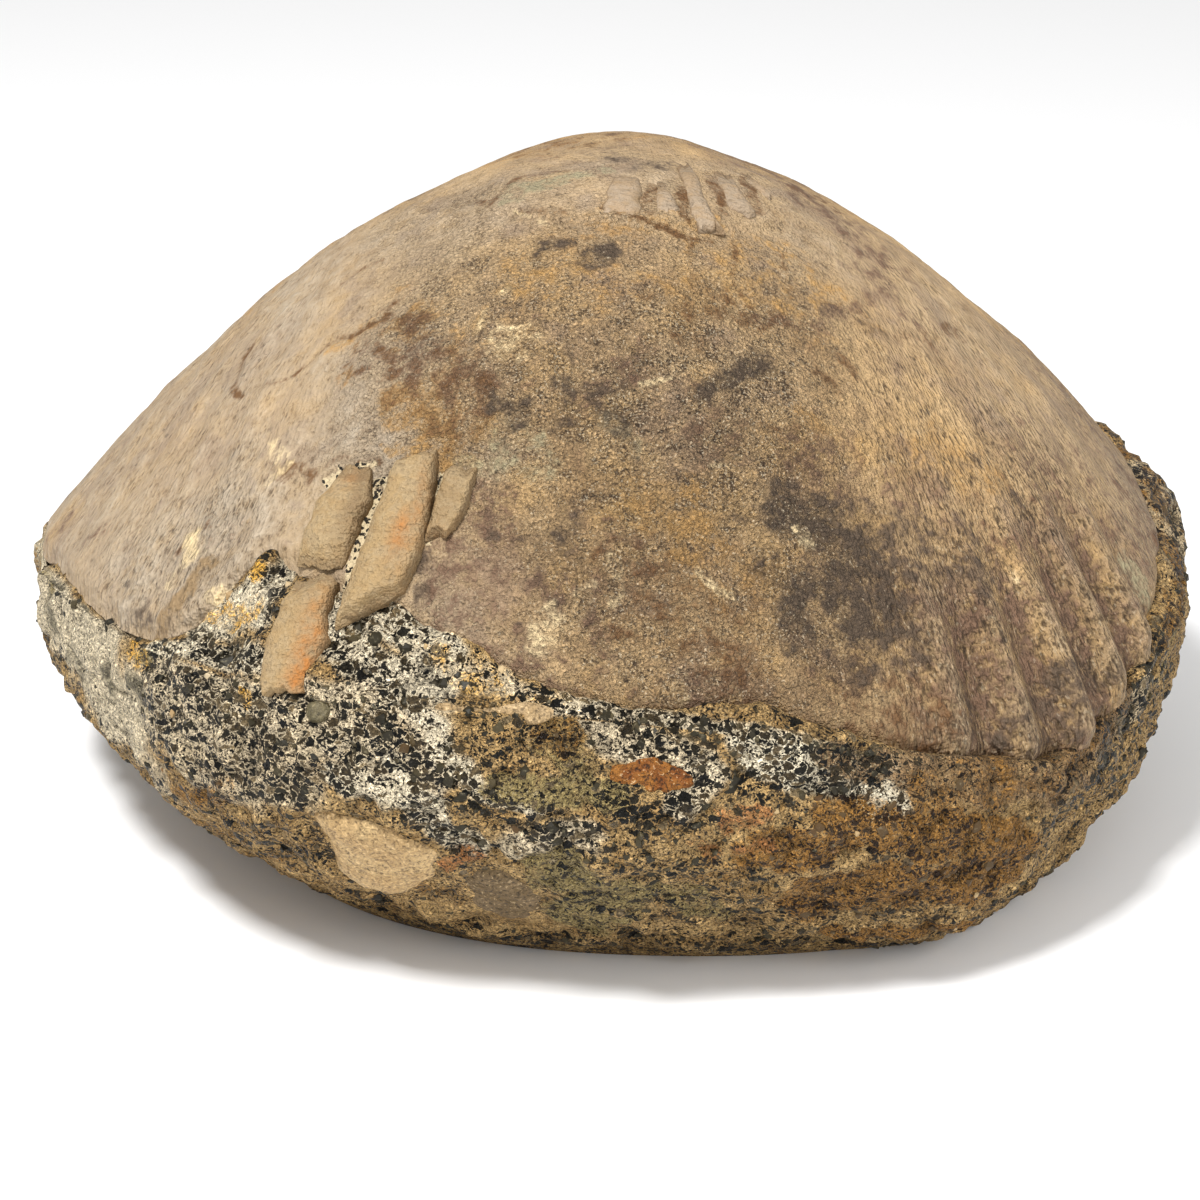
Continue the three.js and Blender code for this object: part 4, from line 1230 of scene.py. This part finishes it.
def make_crest_ribs():
    main, second, stain_tone = tone(168, 148, 124), tone(153, 131, 105), tone(164, 136, 100)
    finish = shell_finish("worn_shell_finish", main, second, stain_tone, 0.5, 0.3)
    parts = []
    for seed, (path, width, height) in enumerate(CREST_RIBS, 10):
        shape = {"path": path, "width": width, "height": height, "taper": CREST_RIB_TAPER}
        parts.append(spotted_strip(shape, [], CREST_RIB_SHADE, seed))
    points, faces, marks = join(parts)
    tie(build("crest_ribs_shell", points, faces, finish, marks=marks), "worn_shell", "crest_ribs")


# ------------------------------------------------------------------ sand grains
# Grains stand on a net laid over each sector of bearings. Its cells are GRAIN_SPACING mm apart,
# and it runs down from just above the seam, so many mm to one unit of reach.
GRAIN_SPACING = 1.15
GRAIN_SECTORS = {
    "grains_left": (178, 240), "grains_front": (240, 282), "grains_right": (282, 350),
    "grains_back": (350, 538),
}
NET_DEPTH = 52
NET_ABOVE = 1.2
NET_DEGREE = 0.96
NET_ON_CAST = 58
NET_ON_ROCK = 16.5
DARK_SHARE = 0.75
PALE_SHARE = 0.01
STRAY_SHARE = 0.10
GRAIN_FLATNESS = 0.25
BURIED = 0.55


def ball():
    """Corners and faces of a ball of 20 triangles: three golden rectangles, one across each
    other, and every three corners that are close together."""
    golden = (1 + 5**0.5) / 2
    corners = np.array([(0, a, b * golden) for a in (-1, 1) for b in (-1, 1)], float)
    corners = unit(np.concatenate([np.roll(corners, k, axis=1) for k in range(3)]))
    near = np.linalg.norm(corners[:, None] - corners[None], axis=-1) < 1.2
    triples = np.array(list(combinations(range(12), 3)))
    a, b, c = triples.T
    faces = triples[near[a, b] & near[b, c] & near[a, c]]
    a, b, c = corners[faces.T]
    inward = (np.cross(b - a, c - a) * a).sum(axis=-1) < 0
    faces[inward] = faces[inward][:, ::-1]
    return corners, faces


def angular_grains(rng, middles, normals, sizes):
    """Grains at the middles: each a ball turned at random, its corners pulled in and out, and
    flattened along the surface normal. Gives points, faces and how many points each has."""
    corners, faces = ball()
    count = len(middles)
    turns = unit(rng.normal(size=(count, 4)))
    w, x, y, z = turns.T
    turn = np.array([
        [1 - 2 * (y * y + z * z), 2 * (x * y - w * z), 2 * (x * z + w * y)],
        [2 * (x * y + w * z), 1 - 2 * (x * x + z * z), 2 * (y * z - w * x)],
        [2 * (x * z - w * y), 2 * (y * z + w * x), 1 - 2 * (x * x + y * y)],
    ]).transpose(2, 0, 1)
    pull = rng.uniform(0.72, 1.2, (count, len(corners), 1))
    stretch = rng.uniform(0.75, 1.3, (count, 1, 3))
    shape = np.einsum("nij,nkj->nki", turn, corners * pull * stretch) * sizes[:, None, None]
    along_normal = np.einsum("nkj,nj->nk", shape, normals)[..., None] * normals[:, None]
    points = middles[:, None] + shape - GRAIN_FLATNESS * along_normal
    all_faces = faces[None] + (np.arange(count) * len(corners))[:, None, None]
    return points.reshape(-1, 3), all_faces.reshape(-1, 3), len(corners)


def grain_finish():
    """Sand grains: black, olive, brown, tan and cream by their shade, with a dull shine."""
    f = Finish("sand_grain_finish", Specular_IOR_Level=0.2)
    stops = [
        (0.0, tone(32, 29, 20)), (0.3, tone(48, 43, 29)), (0.5, tone(74, 64, 42)),
        (0.62, tone(82, 58, 32)), (0.72, tone(126, 92, 54)), (0.85, tone(176, 150, 108)),
        (1.0, tone(220, 208, 180)),
    ]
    fine = f.noise(0.4, 2.0, 0.6)
    colour = f.node("ShaderNodeValToRGB", {"stops": stops}, {0: f.mark("shade")})
    colour = f.mix(f.fade(fine, 0.55, 0.75) * 0.35, colour, tone(150, 140, 112))
    f.feed("Base Color", colour)
    f.feed("Roughness", 0.3 + fine * 0.4)
    return f.material


def square_map(count, per):
    """Flat map of many small pieces: each has its own square, its points on a circle there."""
    across = int(np.ceil(count**0.5))
    own = np.arange(count)
    cell = np.stack([own % across, own // across], axis=-1) + 0.5
    turn = np.arange(per) / per * 2 * np.pi
    circle = 0.3 * np.stack([np.cos(turn), np.sin(turn)], axis=-1)
    return ((cell[:, None] + circle) / across).reshape(-1, 2)


def make_grains():
    """Sand grains on the rock's side, one to each shaken cell of a net laid over it, dark ones
    as often as the black zone says, and paler ones here and there."""
    rng = np.random.default_rng(17)
    finish = grain_finish()
    for name, (start, end) in GRAIN_SECTORS.items():
        columns = int((end - start) * NET_DEGREE / GRAIN_SPACING)
        rows = int(NET_DEPTH / GRAIN_SPACING)
        column, row = (grid.ravel() for grid in np.meshgrid(np.arange(columns), np.arange(rows)))
        count = len(column)
        shake = rng.uniform(-0.42, 0.42, (2, count))
        bearing = start + (column + 0.5 * (row % 2) + shake[0]) * (end - start) / columns
        edge = cast_edge(bearing)
        down = (row + shake[1]) * GRAIN_SPACING - NET_ABOVE
        past_margin = down - (1 - edge) * NET_ON_CAST
        reach = edge + down / NET_ON_CAST
        reach = np.where(reach > 1, 1 + past_margin / NET_ON_ROCK, reach)
        skin, normal = rock_skin(bearing, reach)
        marks = rock_marks(bearing, reach, skin)
        chance = rng.uniform(size=count)
        dark = chance < DARK_SHARE * marks["black"] * fade(reach - edge, 0.01, 0.06)
        pale = ~dark & (chance > 1 - PALE_SHARE)
        bare = stone_cover(bearing, reach) > 0.3
        kept = (dark | pale) & ~bare & (reach < 2.93)
        kept &= (down > 0) | (chance < STRAY_SHARE)
        shade = rng.beta(1.3, 2.4, count) * 0.62
        rusty = rng.uniform(size=count) < marks["ochre"]
        shade = np.where(rusty, 0.55 + 0.15 * chance, shade)
        shade = np.where(pale, rng.uniform(0.7, 0.95, count), shade)
        size = rng.lognormal(-0.9, 0.32, count)
        middle = skin - normal * (size * BURIED)[:, None]
        middle[:, 2] = np.maximum(middle[:, 2], size * 1.3)
        points, faces, per = angular_grains(rng, middle[kept], normal[kept], size[kept])
        shades = np.repeat(shade[kept], per)
        flat_map = square_map(kept.sum(), per)
        marks = {"shade": shades}
        piece = build(name, points, [faces], finish, smooth=False, marks=marks, flat_map=flat_map)
        tie(piece, "gritty_rock")


# ------------------------------------------------------------------ stage
# Lights: place and size in mm, and watts. Camera: lens and distance in mm, degrees above the
# floor, and the point that it looks at.
LIGHTS = {
    "key_light": ((-140, -200, 440), 90, 2.45),
    "fill_light": ((300, -260, 240), 260, 0.7),
}
SKY_STRENGTH = 0.6
FLOOR_HALF = 1500.0
LENS = 104.67
CAMERA_BACK = 330
CAMERA_RISE = 24
CAMERA_TARGET = np.array([-0.8, -1.2, 18.5])


def make_stage():
    """A wide pale floor, a big soft key light from the upper left, a fill and a pale sky."""
    f = Finish("floor_finish", Base_Color=tone(250, 250, 250), Roughness=0.9)
    corners = FLOOR_HALF * np.array([(-1, -1, 0), (1, -1, 0), (1, 1, 0), (-1, 1, 0)])
    floor = build("floor", corners, [np.array([[0, 1, 2, 3]])], f.material)
    sky = bpy.data.worlds.new("pale_sky")
    sky.use_nodes = True
    background = sky.node_tree.nodes["Background"].inputs
    background["Color"].default_value = (1.0, 1.0, 1.0, 1.0)
    background["Strength"].default_value = SKY_STRENGTH
    bpy.context.scene.world = sky
    for name, (place, size, watts) in LIGHTS.items():
        lamp = bpy.data.lights.new(name, "AREA")
        lamp.size = size * MM
        lamp.energy = watts
        stand(bpy.data.objects.new(name, lamp), place, (0, 0, 25))
    bpy.context.scene.view_settings.view_transform = "Standard"


def stand(thing, place, target):
    """Puts a light or camera in the scene at a place in mm, looking at a target in mm."""
    thing.location = Vector(place) * MM
    looking = Vector(target) * MM - thing.location
    thing.rotation_euler = looking.to_track_quat("-Z", "Y").to_euler()
    bpy.context.scene.collection.objects.link(thing)


def make_camera():
    """The camera stands in front of the clam and a little above it."""
    lens = bpy.data.cameras.new("camera")
    lens.lens = LENS
    lens.sensor_width = 36
    rise = np.radians(CAMERA_RISE)
    back = CAMERA_BACK * np.array([0, -np.cos(rise), np.sin(rise)])
    camera = bpy.data.objects.new("camera", lens)
    stand(camera, CAMERA_TARGET + back, CAMERA_TARGET)
    bpy.context.scene.camera = camera


make_camera()
make_stage()
make_cast()
make_rock()
make_stones()
make_shell_strips()
make_crest_ribs()
make_grains()
